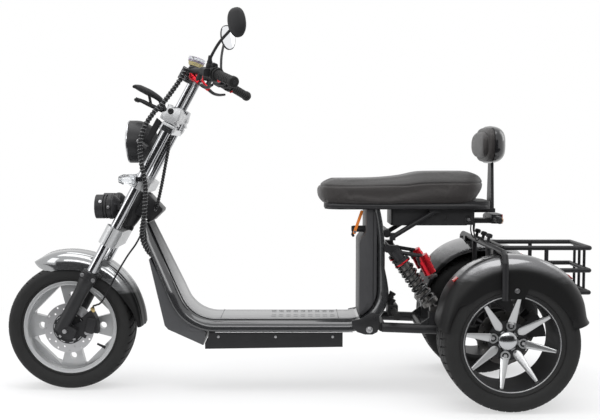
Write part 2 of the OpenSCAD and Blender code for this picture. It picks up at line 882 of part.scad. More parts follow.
module brake_masters() {
    color("#b01822") pair() on_bar() difference() {
        union() {
            translate([-7, 0, 4]) round_box([46, 32, 18], 7);
            translate([-1, -25, 4]) round_box([26, 30, 34], 8);
        }
        cylinder(d = bar_d, h = 60);
        switch_box();
    }
}

module brake_levers() {
    d = 9;
    route = [[0, -46, 12], [2, -48, 60], [8, -50, 110], [14, -46, 168]];
    color("#19191b") pair() on_bar() {
        swept_tube(smooth_route(route, 4), d, 12, [0, 1, 0]);
        translate(route[3]) sphere(d = 1.6 * d, $fn = 32);
        translate([-8, -50, 8]) cube([16, 10, 22]);
    }
}

module mirrors() {
    base = bar_bend + 13 * bar_along + 30 * bar_up;
    elbow = base + 36 * bar_up;
    d = 10;
    color("#1a1a1c") pair() {
        rod(base, elbow, d);
        translate(elbow) sphere(d = 1.2 * d);
        rod(elbow, mirror_head, d);
        translate(mirror_head) rotate([0, 78, -12]) translate([0, 0, -mirror.z / 2]) {
            linear_extrude(mirror.z) round_rect(mirror.y, mirror.x, mirror.x / 2 - 1);
            translate([0, 0, -5]) linear_extrude(6)
                round_rect(mirror.y - 16, mirror.x - 16, mirror.x / 2 - 9);
        }
    }
}

module gauge() {
    at = [front_x - 448, 0, tyre_r + 913];
    d = 62;
    h = 44;
    foot = [44, 28, 22];
    color("#2a2a30") difference() {
        union() {
            translate(at) rotate([0, -12, 0]) cylinder(d = d, h = h);
            translate(at) rotate([0, -12, 0]) translate([0, 0, h - 10]) cylinder(d = d + 6, h = 6);
            translate(at - [0, foot.y / 2, 16]) cube(foot);
        }
        bar_middle();
        translate(at) rotate([0, -12, 0]) translate([0, 0, h - 2]) cylinder(d = d - 8, h = 4);
    }
}

module fork_tube_room() {
    on_fork() pair() translate([leg_x, leg_y, 0]) cylinder(d = tube_d + 2 * run_gap, h = bracket_s[1]);
}

// Headlamp bowl: a turned profile with a rim, bored for the lens
module headlamp_shell() {
    neck_r = 35;
    neck_l = 39;
    arm = [74, 44, 20];
    color("#2a2c30") difference() {
        union() {
            translate([lamp_back - neck_l, 0, lamp_z]) along_x() rotate_extrude()
                polygon([[0, 0], [neck_r, 0], [0.72 * lamp_r, 10], [0.9 * lamp_r, 24], [lamp_r, neck_l + 6],
                    [lamp_r, neck_l + lamp_depth - 14], [lamp_r - 3, neck_l + lamp_depth],
                    [0, neck_l + lamp_depth]]);
            pair() translate([lamp_back - 59, 56, lamp_z - 10]) cube(arm);
        }
        translate([lamp_back + 43, 0, lamp_z]) along_x() cylinder(r = lens_r, h = lamp_depth);
        fork_tube_room();
    }
}

module headlamp_lens() {
    color("whitesmoke") translate([lamp_back + 43, 0, lamp_z]) along_x() rotate_extrude()
        polygon([[0, 0], [lens_r, 0], [lens_r, 32], [0.8 * lens_r, 38], [0.45 * lens_r, 41], [0, 42]]);
}

module spot_lamps() {
    neck = 20;
    bar = [10, 2 * leg_y, 18];
    color("#19191b") difference() {
        union() {
            pair() translate(spot_at) along_x() cylinder(r = spot_r, h = spot_len);
            pair() translate(spot_at - [neck, 0, 0]) along_x() cylinder(r1 = 22, r2 = spot_r, h = neck + 0.5);
            translate(spot_at - [28, spot_at.y + leg_y, 9]) cube(bar);
            pair() translate([spot_at.x - 44, leg_y - 12, spot_at.z - 9]) cube([25, 14, 18]);
        }
        pair() translate(spot_at + [spot_len - 6, 0, 0]) along_x() cylinder(r = spot_r - 5, h = spot_len);
        pair() for (k = [1 : 3]) translate(spot_at + [10 * k, 0, 0]) along_x() difference() {
            cylinder(r = spot_r + cut, h = 4);
            translate([0, 0, -cut]) cylinder(r = spot_r - 5, h = 4 + 2 * cut);
        }
        fork_tube_room();
    }
}

module front_indicators() {
    d = 36;
    stalk = [32, 30, 16];
    color("#c9c4b8") pair() translate(blinker_at) along_x() {
        cylinder(d = d, h = 46);
        translate([0, 0, 45]) cylinder(d1 = d, d2 = d - 14, h = 15);
    }
    color("#19191b") difference() {
        pair() translate([blinker_at.x - 16, blinker_at.y - 46, blinker_at.z - stalk.z / 2]) cube(stalk);
        fork_tube_room();
        top_yoke();
    }
}

module phone_holder() {
    arms = [[[-227, 850], [-316, 797], 16], [[-227, 807], [-324, 765], 12], [[-316, 797], [-324, 765], 14],
        [[-324, 767], [-376, 747], 14]];
    color("#18181a") difference() {
        at_front() for (a = arms) rod([a[0].x, 0, a[0].y], [a[1].x, 0, a[1].y], a[2]);
        bracket_plate();
    }
}

// Plan of the front fender: parallel sides and a pointed front
module fender_plan() {
    tip = front_fender_r * 0.48;
    side = front_fender_r * 0.1;
    half = front_fender_half;
    polygon([[-2 * front_fender_r, -half], [side, -half], [0.75 * tip, -0.55 * half], [tip, 0],
        [0.75 * tip, 0.55 * half], [side, half], [-2 * front_fender_r, half]]);
}

// Section of the front fender: a crown with round shoulders and two sides
module front_fender_section() {
    half = front_fender_half;
    round = front_fender_round;
    t = front_fender_t;
    top = front_fender_r + t;
    translate([top - t, round - half]) square([t, 2 * (half - round)]);
    for (side = [0, 1]) mirror([0, side]) {
        translate([top - round, half - round]) intersection() {
            difference() {
                circle(round);
                circle(round - t);
            }
            square(round);
        }
        translate([0.7 * top, half - t]) square([0.3 * top - round, t]);
    }
}

module front_fender() {
    half = front_fender_half;
    arm = [24, 8, 66];
    color("#58585c") difference() {
        union() {
            at_front() intersection() {
                rotate([90, 0, 0]) rotate([0, 0, 58]) rotate_extrude(angle = 124, $fn = 96)
                    front_fender_section();
                translate([0, 0, -front_fender_r]) linear_extrude(3 * front_fender_r) fender_plan();
            }
            on_fork() pair() translate([6, half - front_fender_t + 0.5, slider_hi - 32]) cube(arm);
        }
        at_front() translate([0, -2 * half, -front_fender_edge[0]]) along_y()
            cylinder(r = front_fender_edge[1], h = 4 * half);
        on_fork() pair() translate([leg_x, leg_y, 0]) cylinder(d = collar_d, h = slider_hi);
        fork_tube_room();
    }
}

module front_calliper() {
    r = [0.42 * rim_r, 0.7 * rim_r];
    w = 38;
    plate = 8;
    color("#19191b") on_fork() difference() {
        translate([0, leg_y - 14, 0]) rotate([90, 0, 0]) {
            calliper_box(r[0], r[1], 112, 48, w);
            calliper_box(22, r[0] + 6, 122, 58, plate);
        }
        translate([0, front_hub_half - 7, 0]) along_y()
            cylinder(r = front_disc_r + disc_room, h = disc_t + 14);
    }
}

module front_axle() {
    lug = leg_y - 14;
    spacer = 24;
    nut = 28;
    color("silver") on_fork() {
        translate([0, -nut - leg_y, 0]) along_y() cylinder(d = axle_d, h = 2 * (leg_y + nut));
        translate([0, front_hub_half + 4.5, 0]) along_y()
            cylinder(d = spacer, h = lug - front_hub_half - 4.5);
        translate([0, -lug, 0]) along_y() cylinder(d = spacer, h = lug - front_hub_half - 0.5);
    }
}

module cable_loom() {
    route = [[-408, 128, 825], [-376, 131, 755], [-338, 131, 675], [-298, 134, 565], [-296, 130, 485],
        [-294, 126, 430]];
    color("#141416") at_front() swept_tube(smooth_route(route, 4), 17, 10, [0, 1, 0]);
}

// Wheels: drawn with the axle along +Z, then laid across

module ring(r_in, r_out, h) {
    difference() {
        cylinder(r = r_out, h = h, center = true, $fn = 128);
        cylinder(r = r_in, h = h + 2 * cut, center = true, $fn = 128);
    }
}

// A tyre: a crowned section with ring grooves, and the bead that sits on the rim
module tyre(w, bead_w, grooves) {
    r_in = flange_r - rim_wall;
    depth = tyre_r - r_in - rim_wall;
    groove = [6, 7];
    rotate_extrude($fn = 128) difference() {
        union() {
            translate([tyre_r - depth / 2, 0]) round_rect(depth, w, min(28, 0.49 * depth));
            translate([r_in, -bead_w / 2]) square([depth / 2, bead_w]);
        }
        for (y = grooves) translate([tyre_r - groove.x, y * w - groove.y / 2]) square(2 * groove);
    }
}

module barrel(w) {
    ring(rim_r, flange_r - rim_wall, w);
    for (side = [-1, 1]) translate([0, 0, side * (w - flange_w) / 2]) ring(rim_r, flange_r, flange_w);
}

module front_tyre() {
    color("#161616") at_front() along_y() tyre(front_tyre_w, front_rim_w - bead_gap, [-0.1, 0.1]);
}

// Four broad spokes: a web with trapezoid windows, a round hole through each spoke and a raised hub
module front_rim() {
    web = 22;
    boss = [57, 9];
    window = rim_r * [[0.37, -0.17], [0.37, 0.17], [0.86, 0.46], [0.86, -0.46]];
    color("gainsboro") at_front() along_y() difference() {
        union() {
            barrel(front_rim_w);
            cylinder(r = rim_r + 2, h = web, center = true);
            cylinder(d = 60, h = 2 * front_hub_half, center = true);
            translate([0, 0, front_hub_half - boss.y]) cylinder(r = min(boss.x, 0.36 * rim_r), h = boss.y);
        }
        for (i = [0 : 3]) rotate([0, 0, 90 * i]) {
            rotate([0, 0, 45]) translate([0, 0, -web]) linear_extrude(2 * web) polygon(window);
            translate([0.72 * rim_r, 0, 0]) cylinder(d = 0.16 * rim_r, h = 2 * web, center = true);
        }
        cylinder(d = axle_d + 2 * run_gap, h = 4 * front_hub_half, center = true);
    }
}

// A drilled brake disc: rows of holes and windows in its carrier
module brake_disc(r) {
    color("silver") difference() {
        cylinder(r = r, h = disc_t);
        translate([0, 0, -cut]) cylinder(d = hub_bore, h = disc_t + 2 * cut);
        for (i = [0 : 11]) rotate([0, 0, 30 * i]) {
            translate([0.92 * r, 0, -cut]) cylinder(d = 0.08 * r, h = disc_t + 2 * cut, $fn = 24);
            rotate([0, 0, 15]) translate([0.78 * r, 0, -cut])
                cylinder(d = 0.08 * r, h = disc_t + 2 * cut, $fn = 24);
        }
        for (i = [0 : 5]) rotate([0, 0, 60 * i]) translate([0.52 * r, 0, -cut])
            cylinder(d = 0.24 * r, h = disc_t + 2 * cut);
    }
}

module front_disc() {
    at_front() along_y() translate([0, 0, front_hub_half]) brake_disc(front_disc_r);
}

module at_rear(side) {
    translate([rear_x, side * rear_y, tyre_r]) rotate([-90 * side, 0, 0]) children();
}

module rear_tyre(side) {
    color("#161616") at_rear(side) tyre(rear_tyre_w, rear_rim_w - bead_gap, [-0.28, -0.1, 0.1, 0.28]);
}

// A dished spoke: its plan tapers from the hub to the rim, and its side view rises to the outer flange
module rear_spoke() {
    hub = 30;
    out = rim_r + 3;
    rise = rear_rim_w / 2 - 34;
    t = 16;
    intersection() {
        linear_extrude(rear_rim_w, center = true) polygon([[0, -hub / 2], [out, -6], [out, 6], [0, hub / 2]]);
        translate([0, hub, 0]) rotate([90, 0, 0]) linear_extrude(2 * hub)
            polygon([[0, 0], [0.3 * rim_r, 0], [out, rise], [out, rise + 0.8 * t], [0.3 * rim_r, t], [0, t]]);
    }
}

module rear_rim(side) {
    spokes = 8;
    hub_r = 0.43 * rim_r;
    lug_r = 0.334 * rim_r;
    lug_turn = 80;
    hub_in = 30;
    cap = [36, 16, 14];
    color("#1c1c1e") at_rear(side) difference() {
        union() {
            barrel(rear_rim_w);
            for (i = [0 : spokes - 1]) rotate([0, 0, 34.5 + 360 / spokes * i]) rear_spoke();
            cylinder(r = hub_r, h = cap.y);
            for (i = [0 : 3]) rotate([0, 0, lug_turn + 90 * i]) translate([lug_r, 0, 0])
                cylinder(d = 22, h = cap.y + 5);
            translate([0, 0, -hub_in]) cylinder(d = 72, h = hub_in + 1);
            translate([0, 0, cap.y - cut]) rotate_extrude() polygon([[0, 0], [cap.x, 0], [cap.x - 2, 6],
                [0.75 * cap.x, 11], [0.4 * cap.x, cap.z], [0, cap.z + 1]]);
        }
        translate([0, 0, -hub_in - cut]) cylinder(d = stub_d + 2 * run_gap, h = hub_in + 15 + cut);
        for (i = [0 : 3]) rotate([0, 0, lug_turn + 90 * i]) translate([lug_r, 0, cap.y - 6])
            cylinder(d = 12, h = cap.y);
    }
}

module rear_disc(side) {
    at_rear(side) translate([0, 0, -30 - disc_t]) brake_disc(rear_disc_r);
}

module rear_tyre_left() { rear_tyre(1); }
module rear_tyre_right() { rear_tyre(-1); }
module rear_rim_left() { rear_rim(1); }
module rear_rim_right() { rear_rim(-1); }
module rear_disc_left() { rear_disc(1); }
module rear_disc_right() { rear_disc(-1); }

body_pan();
body_cover();
column_cover();
under_tray();
front_deflector();
steering_head();
seat_struts();
seat_pan();
seat_cushion();
battery_box();
backrest_post();
backrest_shell();
backrest_pad();
tail_lamp();
rear_indicators();
swingarm();
rear_axle();
shock_dampers();
shock_springs();
shock_reservoirs();
rear_fenders();
fender_hoop();
basket();
bag_hook();
foot_pegs();
rear_callipers();
fork_sliders();
fork_tubes();
lower_yoke();
top_yoke();
handlebar_bracket();
handlebar();
grips();
switch_housings();
brake_masters();
brake_levers();
mirrors();
gauge();
headlamp_shell();
headlamp_lens();
spot_lamps();
front_indicators();
phone_holder();
front_fender();
front_calliper();
front_axle();
cable_loom();
front_tyre();
front_rim();
front_disc();
rear_tyre_left();
rear_rim_left();
rear_disc_left();
rear_tyre_right();
rear_rim_right();
rear_disc_right();
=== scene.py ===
# %% [markdown]
# # A three-wheeled electric scooter
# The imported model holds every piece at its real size. This lesson dresses it: it rebuilds the shapes that
# have flowing skins, adds tread, bolts, cables and stitching, and gives each surface its finish.
# All lengths are in metres. X runs forward, Y to the rider's left and Z up.

# %% Load the frame
import math
import bmesh
import bpy
import numpy as np
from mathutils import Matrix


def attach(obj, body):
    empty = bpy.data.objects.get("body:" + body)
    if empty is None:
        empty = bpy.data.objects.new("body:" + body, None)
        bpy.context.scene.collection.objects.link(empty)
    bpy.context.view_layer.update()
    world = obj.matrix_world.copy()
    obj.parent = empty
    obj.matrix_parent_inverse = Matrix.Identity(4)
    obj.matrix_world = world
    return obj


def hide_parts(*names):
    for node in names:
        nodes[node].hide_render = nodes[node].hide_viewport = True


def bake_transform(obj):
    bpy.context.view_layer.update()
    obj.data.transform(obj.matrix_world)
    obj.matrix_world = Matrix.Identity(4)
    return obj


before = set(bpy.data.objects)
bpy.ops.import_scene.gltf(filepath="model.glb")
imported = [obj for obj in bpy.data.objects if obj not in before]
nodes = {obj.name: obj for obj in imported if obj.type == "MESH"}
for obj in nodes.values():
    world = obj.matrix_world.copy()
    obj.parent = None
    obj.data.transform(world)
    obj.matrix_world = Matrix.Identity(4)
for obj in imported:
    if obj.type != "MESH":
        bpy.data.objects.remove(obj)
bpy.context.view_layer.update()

# %% [markdown]
# ## Camera
# The picture was taken from the rider's left with a normal lens at about three metres, a little above the
# seat and tipped down by less than four degrees. The numbers come from fitting the tyres, rims and basket.

# %% Camera
PHOTO_W = 600
FOCAL_PX = 869.0
SENSOR_MM = 36.0
CAMERA_AT = (-0.0155, 3.1, 0.838)
CAMERA_DIP = math.radians(3.68)

camera = bpy.data.cameras.new("camera")
camera.sensor_fit = "HORIZONTAL"
camera.sensor_width = SENSOR_MM
camera.lens = FOCAL_PX / PHOTO_W * SENSOR_MM
camera_object = bpy.data.objects.new("camera", camera)
bpy.context.scene.collection.objects.link(camera_object)
camera_object.location = CAMERA_AT
camera_object.rotation_euler = (math.radians(90) - CAMERA_DIP, 0, math.radians(180))
bpy.context.scene.camera = camera_object
print("lens", round(camera.lens, 1), "mm")

# %% [markdown]
# ## Shader maths
# A material is a small graph of nodes. Writing that graph as Python expressions keeps it readable: `Value`
# wraps a socket, and the operators on it add Math nodes. `Shader` makes a material, and its `node` method
# makes any other node from its type, its settings and its sockets.

# %% Shader maths
class Value:
    """One socket of a material's graph, with arithmetic."""

    def __init__(self, shader, socket):
        self.shader = shader
        self.socket = socket

    def _math(self, operation, *values):
        return self.shader.node("Math", {"operation": operation}, dict(enumerate(values)))

    def __add__(self, other):
        return self._math("ADD", self, other)

    def __sub__(self, other):
        return self._math("SUBTRACT", self, other)

    def __rsub__(self, other):
        return self._math("SUBTRACT", other, self)

    def __mul__(self, other):
        return self._math("MULTIPLY", self, other)

    def least(self, other):
        return self._math("MINIMUM", self, other)

    __radd__ = __add__
    __rmul__ = __mul__


class Shader:
    """A material built round one Principled BSDF."""

    def __init__(self, name, **constants):
        self.material = bpy.data.materials.new(name)
        self.material.use_nodes = True
        self.tree = self.material.node_tree
        self.tree.nodes.clear()
        self.surface = self.tree.nodes.new("ShaderNodeBsdfPrincipled")
        output = self.tree.nodes.new("ShaderNodeOutputMaterial")
        self.tree.links.new(self.surface.outputs[0], output.inputs[0])
        for key, value in constants.items():
            self.surface.inputs[key.replace("_", " ")].default_value = value

    def node(self, kind, settings=None, inputs=None, output=0):
        """Adds a node, sets what it is, then fills its sockets with values or links."""
        made = self.tree.nodes.new("ShaderNode" + kind)
        for key, value in (settings or {}).items():
            setattr(made, key, value)
        for key, value in (inputs or {}).items():
            if isinstance(value, Value):
                self.tree.links.new(value.socket, made.inputs[key])
            else:
                made.inputs[key].default_value = value
        return Value(self, made.outputs[output])

    def feed(self, name, value):
        """Links a value to a socket of the surface."""
        self.tree.links.new(value.socket, self.surface.inputs[name])

    def place(self):
        """Object coordinates, in metres."""
        return self.node("TexCoord", output=3)

    def noise(self, scale, detail=3.0, roughness=0.55, stretch=None):
        """Fractal noise from 0 to 1 on object coordinates."""
        where = self.place()
        if stretch:
            where = self.node("Mapping", None, {0: where, "Scale": stretch})
        return self.node("TexNoise", None, {"Vector": where, "Scale": scale, "Detail": detail,
                                            "Roughness": roughness})

    def mix_colour(self, factor, first, second):
        """A colour between two, by a factor."""
        return self.node("Mix", {"data_type": "RGBA"}, {0: factor, 6: first, 7: second}, output=2)

    def bump(self, height, strength, distance):
        """Feeds a height to the surface's normal."""
        normal = self.node("Bump", None, {"Strength": strength, "Distance": distance, "Height": height})
        self.feed("Normal", normal)


def rgb(red, green, blue):
    return (red, green, blue, 1.0)


# %% [markdown]
# ## Painted and coated metal
# The body is dark grey paint with fine flake under clear lacquer, the tubes are satin black powder coat with
# a faint orange peel. The fenders darken to black low down and on their outer flank, and the deck cover
# towards the top of the neck: that darkening by height is painted shade.
# Each finish varies a little in roughness, because a perfectly even gloss looks like plastic.

# %% Painted and coated metal
# Half-widths between which a rear fender's outer flank darkens: part of the painted shade.
FLANK_OUT = 0.3612
FLANK_IN = 0.352
FADE_MATT = 0.3


def painted(name, colour, flake, metallic, roughness, coat, fade=None):
    """Lacquered paint with small flake and a faintly wavy gloss. It may darken by height: painted shade."""
    shader = Shader(name, Metallic=metallic, Coat_Weight=coat, Coat_Roughness=0.04)
    sparkle = shader.noise(900.0, 2.0)
    tone = shader.mix_colour((sparkle - 0.45) * 3.0, rgb(*colour), rgb(*[c + flake for c in colour]))
    # The fade is painted shade: towards its first height and on a fender's outer flank, the colour darkens to
    # the share fade[2] of itself, and loses its metal and coat.
    if fade:
        height = shader.node("SeparateXYZ", None, {0: shader.place()}, output=2)
        across = shader.node("SeparateXYZ", None, {0: shader.place()}, output=1)
        out = shader.node("Math", {"operation": "ABSOLUTE"}, {0: across})
        cloud = (shader.noise(26.0, 5.0, 0.6, (1.0, 1.0, 3.0)) - 0.5) * 0.05
        share = shader.node("MapRange", None, {0: height + cloud, 1: fade[0], 2: fade[1]})
        share = share * shader.node("MapRange", None, {0: out, 1: FLANK_OUT, 2: FLANK_IN})
        tone = shader.mix_colour(share, rgb(*[c * fade[2] for c in colour]), tone)
        shader.feed("Metallic", share * metallic)
        shader.surface.inputs["Specular IOR Level"].default_value = 0.25
    shader.feed("Base Color", tone)
    shine = roughness + (shader.noise(9.0, 4.0) - 0.5) * 0.08
    if fade:
        shine = shine + (1 - share) * FADE_MATT
        shader.feed("Coat Weight", share * coat)
    shader.feed("Roughness", shine)
    shader.bump(shader.noise(160.0, 2.0), 0.03, 0.001)
    return shader.material


def powder_coat(name, colour, roughness):
    """Satin powder coat with orange peel and a little dust in the gloss."""
    shader = Shader(name, Specular_IOR_Level=0.3)
    cloud = shader.noise(14.0, 5.0)
    shader.feed("Base Color", shader.mix_colour(cloud, rgb(*colour), rgb(*[c * 1.6 + 0.004 for c in colour])))
    shader.feed("Roughness", roughness + (cloud - 0.5) * 0.16)
    shader.bump(shader.noise(700.0, 2.0), 0.10, 0.0006)
    return shader.material


def moulded(name, colour, roughness, grain):
    """Moulded plastic with a fine spark-eroded grain."""
    shader = Shader(name, Specular_IOR_Level=0.3)
    cloud = shader.noise(20.0, 3.0)
    shader.feed("Base Color", shader.mix_colour(cloud, rgb(*colour),
                                                rgb(*[c * 1.35 + 0.003 for c in colour])))
    shader.feed("Roughness", roughness + (cloud - 0.5) * 0.1)
    shader.bump(shader.noise(grain, 3.0), 0.16, 0.0005)
    return shader.material


def bare_metal(name, colour, roughness, brush):
    """Bare or plated metal. The brush stretches the noise into faint lines."""
    shader = Shader(name, Metallic=1.0)
    lines = shader.noise(220.0, 3.0, 0.6, brush)
    shader.feed("Base Color", shader.mix_colour(lines, rgb(*[c * 0.9 for c in colour]), rgb(*colour)))
    shader.feed("Roughness", roughness + (lines - 0.5) * 0.1)
    shader.bump(lines, 0.02, 0.0004)
    return shader.material


BODY_GREY = painted("body_grey", (0.038, 0.039, 0.041), 0.02, 0.45, 0.24, 1.0)
# The deck cover darkens towards the top of the neck: painted shade.
DECK_SILVER = painted("deck_silver", (0.27, 0.272, 0.275), 0.03, 0.6, 0.30, 0.3, (0.60, 0.36, 0.20))
SEAM = powder_coat("seam", (0.010, 0.010, 0.011), 0.6)
DEFLECTOR_GREY = painted("deflector_grey", (0.060, 0.061, 0.065), 0.02, 0.2, 0.45, 0.2)
# The fenders darken to black low down, and the rear ones on their outer flank too: painted shade.
FENDER_GREY = painted("fender_grey", (0.34, 0.345, 0.35), 0.05, 0.92, 0.14, 0.3, (0.345, 0.405, 0.02))
FENDER_BLACK = painted("fender_black", (0.20, 0.20, 0.205), 0.03, 0.85, 0.15, 0.2, (0.425, 0.485, 0.03))
GLOSS_BLACK = painted("gloss_black", (0.009, 0.009, 0.010), 0.004, 0.0, 0.20, 0.4)
WHEEL_SILVER = painted("wheel_silver", (0.46, 0.465, 0.47), 0.05, 0.65, 0.36, 0.4)
YOKE_SILVER = painted("yoke_silver", (0.47, 0.475, 0.48), 0.04, 0.45, 0.38, 0.2)
FRAME_BLACK = powder_coat("frame_black", (0.011, 0.011, 0.012), 0.40)
CAST_BLACK = powder_coat("cast_black", (0.012, 0.012, 0.013), 0.46)
COLUMN_GREY = moulded("column_grey", (0.034, 0.034, 0.036), 0.48, 700.0)
MATT_BLACK = moulded("matt_black", (0.011, 0.011, 0.012), 0.55, 900.0)
CASE_BLACK = moulded("case_black", (0.016, 0.016, 0.017), 0.42, 500.0)
CHROME = bare_metal("chrome", (0.50, 0.505, 0.52), 0.17, (1.0, 1.0, 1.0))
MACHINED = bare_metal("machined", (0.52, 0.525, 0.53), 0.30, (1.0, 1.0, 1.0))
STEEL = bare_metal("steel", (0.56, 0.56, 0.57), 0.34, (1.0, 0.08, 1.0))
DARK_STEEL = bare_metal("dark_steel", (0.16, 0.155, 0.15), 0.42, (1.0, 0.08, 1.0))
BRASS = bare_metal("brass", (0.60, 0.45, 0.20), 0.3, (1.0, 1.0, 1.0))
print("metal finishes:", 17)

# %% [markdown]
# ## Rubber, leather, lenses and small colours
# Tyres are matt and a little brown, grips are softer black, and the seat is charcoal leather with a pebbled
# grain. Lenses are clear or tinted plastic. The red pieces are anodised, so they are coloured metal.

# %% Rubber, leather, lenses and small colours
def rubber(name, colour, roughness, grain, dust):
    """Rubber with fine grain and dust that lies in soft clouds."""
    shader = Shader(name, Specular_IOR_Level=0.22)
    cloud = shader.noise(30.0, 5.0)
    shader.feed("Base Color", shader.mix_colour(cloud, rgb(*colour), rgb(*[c + dust for c in colour])))
    shader.feed("Roughness", roughness + (cloud - 0.5) * 0.14)
    shader.bump(shader.noise(grain, 3.0), 0.2, 0.0006)
    return shader.material


def leather(name, colour, light):
    """Pebbled leather: cells between creases, with painted highlight on the raised cells and painted shade in
    the creases.
    """
    shader = Shader(name, Specular_IOR_Level=0.4, Sheen_Weight=0.15, Sheen_Roughness=0.5)
    where = shader.place()
    bend = shader.noise(60.0, 2.0)
    cells = shader.node("TexVoronoi", {"feature": "DISTANCE_TO_EDGE"}, {"Vector": where, "Scale": 420.0})
    pebble = (cells * 3.2).least(1.0)
    # The pebble darkens the creases and lightens the cells' tops: painted shade and highlight. The slow noise
    # is the leather's own uneven tone.
    shader.feed("Base Color", shader.mix_colour(pebble * 0.6 + bend * 0.4, rgb(*colour), rgb(*light)))
    shader.feed("Roughness", 0.56 - pebble * 0.14 + (bend - 0.5) * 0.08)
    shader.bump(pebble + bend * 0.6, 0.32, 0.0007)
    return shader.material


def lens(name, colour, roughness, transmission):
    """Clear or tinted moulded lens with faint flow marks."""
    shader = Shader(name, IOR=1.48, Transmission_Weight=transmission)
    flow = shader.noise(40.0, 2.0)
    shader.feed("Base Color", shader.mix_colour(flow, rgb(*colour), rgb(*[c * 0.82 for c in colour])))
    shader.feed("Roughness", roughness + (flow - 0.5) * 0.04)
    return shader.material


def anodised(name, colour):
    """Anodised alloy: coloured metal with fine lines."""
    shader = Shader(name, Metallic=0.85)
    lines = shader.noise(500.0, 2.0)
    shader.feed("Base Color", shader.mix_colour(lines, rgb(*[c * 0.7 for c in colour]), rgb(*colour)))
    shader.feed("Roughness", 0.26 + (lines - 0.5) * 0.1)
    return shader.material


TYRE = rubber("tyre", (0.012, 0.012, 0.012), 0.60, 900.0, 0.008)
GRIP = rubber("grip", (0.009, 0.009, 0.009), 0.55, 700.0, 0.006)
CABLE = rubber("cable", (0.008, 0.008, 0.009), 0.42, 1200.0, 0.004)
SEAT_LEATHER = leather("seat_leather", (0.010, 0.008, 0.0075), (0.026, 0.022, 0.021))
# A lighter copy of the seat leather for the top panel: painted light from above.
SEAT_LIT_TOP = leather("seat_top", (0.016, 0.015, 0.015), (0.046, 0.043, 0.042))
CLEAR_LENS = lens("clear_lens", (0.92, 0.94, 0.96), 0.06, 0.9)
RED_LENS = lens("red_lens", (0.45, 0.015, 0.012), 0.12, 0.25)
AMBER_LENS = lens("amber_lens", (0.85, 0.36, 0.05), 0.12, 0.25)
SMOKE_LENS = lens("smoke_lens", (0.62, 0.60, 0.56), 0.12, 0.35)
RED_METAL = anodised("red_metal", (0.62, 0.018, 0.030))
CLOCK_VIOLET = moulded("clock_violet", (0.36, 0.22, 0.42), 0.3, 500.0)
CLOCK_YELLOW = moulded("clock_yellow", (0.62, 0.50, 0.16), 0.3, 500.0)
ORANGE = moulded("orange", (0.72, 0.20, 0.025), 0.35, 400.0)
MIRROR = bare_metal("mirror", (0.90, 0.91, 0.93), 0.02, (1.0, 1.0, 1.0))
print("soft and coloured finishes:", 12)

# %% [markdown]
# ## First coat
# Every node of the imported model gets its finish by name, before any piece is rebuilt. Finishes could be set
# piece by piece, but one table shows at a glance what each node wears.

# %% First coat
FINISH = {
    "body_pan": BODY_GREY, "body_cover": DECK_SILVER, "column_cover": BODY_GREY, "under_tray": MATT_BLACK,
    "front_deflector": DEFLECTOR_GREY, "steering_head": FRAME_BLACK, "seat_struts": FRAME_BLACK,
    "seat_pan": MATT_BLACK, "seat_cushion": SEAT_LEATHER, "battery_box": CASE_BLACK,
    "backrest_post": FRAME_BLACK, "backrest_shell": GLOSS_BLACK, "backrest_pad": SEAT_LIT_TOP,
    "tail_lamp": RED_LENS, "rear_indicators": AMBER_LENS, "swingarm": FRAME_BLACK, "rear_axle": CAST_BLACK,
    "shock_dampers": CAST_BLACK, "shock_springs": GLOSS_BLACK, "shock_reservoirs": RED_METAL,
    "rear_fenders": FENDER_BLACK, "fender_hoop": FRAME_BLACK, "basket": FRAME_BLACK, "bag_hook": ORANGE,
    "foot_pegs": GRIP, "rear_callipers": CAST_BLACK, "fork_sliders": CAST_BLACK, "fork_tubes": CHROME,
    "lower_yoke": YOKE_SILVER, "top_yoke": YOKE_SILVER, "handlebar_bracket": CHROME, "handlebar": FRAME_BLACK,
    "grips": GRIP, "switch_housings": MATT_BLACK, "brake_masters": RED_METAL, "brake_levers": CAST_BLACK,
    "mirrors": MATT_BLACK, "gauge": CASE_BLACK, "headlamp_shell": CASE_BLACK, "headlamp_lens": CLEAR_LENS,
    "spot_lamps": CAST_BLACK, "front_indicators": SMOKE_LENS, "phone_holder": MATT_BLACK,
    "front_fender": FENDER_GREY, "front_calliper": CAST_BLACK, "front_axle": STEEL, "cable_loom": CABLE,
    "front_tyre": TYRE, "front_rim": WHEEL_SILVER, "front_disc": STEEL,
    "rear_tyre_left": TYRE, "rear_rim_left": CAST_BLACK, "rear_disc_left": DARK_STEEL,
    "rear_tyre_right": TYRE, "rear_rim_right": CAST_BLACK, "rear_disc_right": DARK_STEEL,
}
for name, finish in FINISH.items():
    nodes[name].data.materials.clear()
    nodes[name].data.materials.append(finish)
print("finished nodes:", len(FINISH))

# %% [markdown]
# ## Floor and light
# The scooter stands on a pale floor that fades into a white backdrop. The light is a soft studio: a wide
# lamp overhead, a strip along the camera side that draws the long highlight on the deck, and a weak fill.

# %% Floor and light
FLOOR_HALF = 30.0


def flat_board(name, corners, material):
    """One flat sheet of the studio."""
    mesh = bpy.data.meshes.new(name)
    mesh.from_pydata(corners, [], [(0, 1, 2, 3)])
    mesh.materials.append(material)
    board = bpy.data.objects.new(name, mesh)
    bpy.context.scene.collection.objects.link(board)
    return board


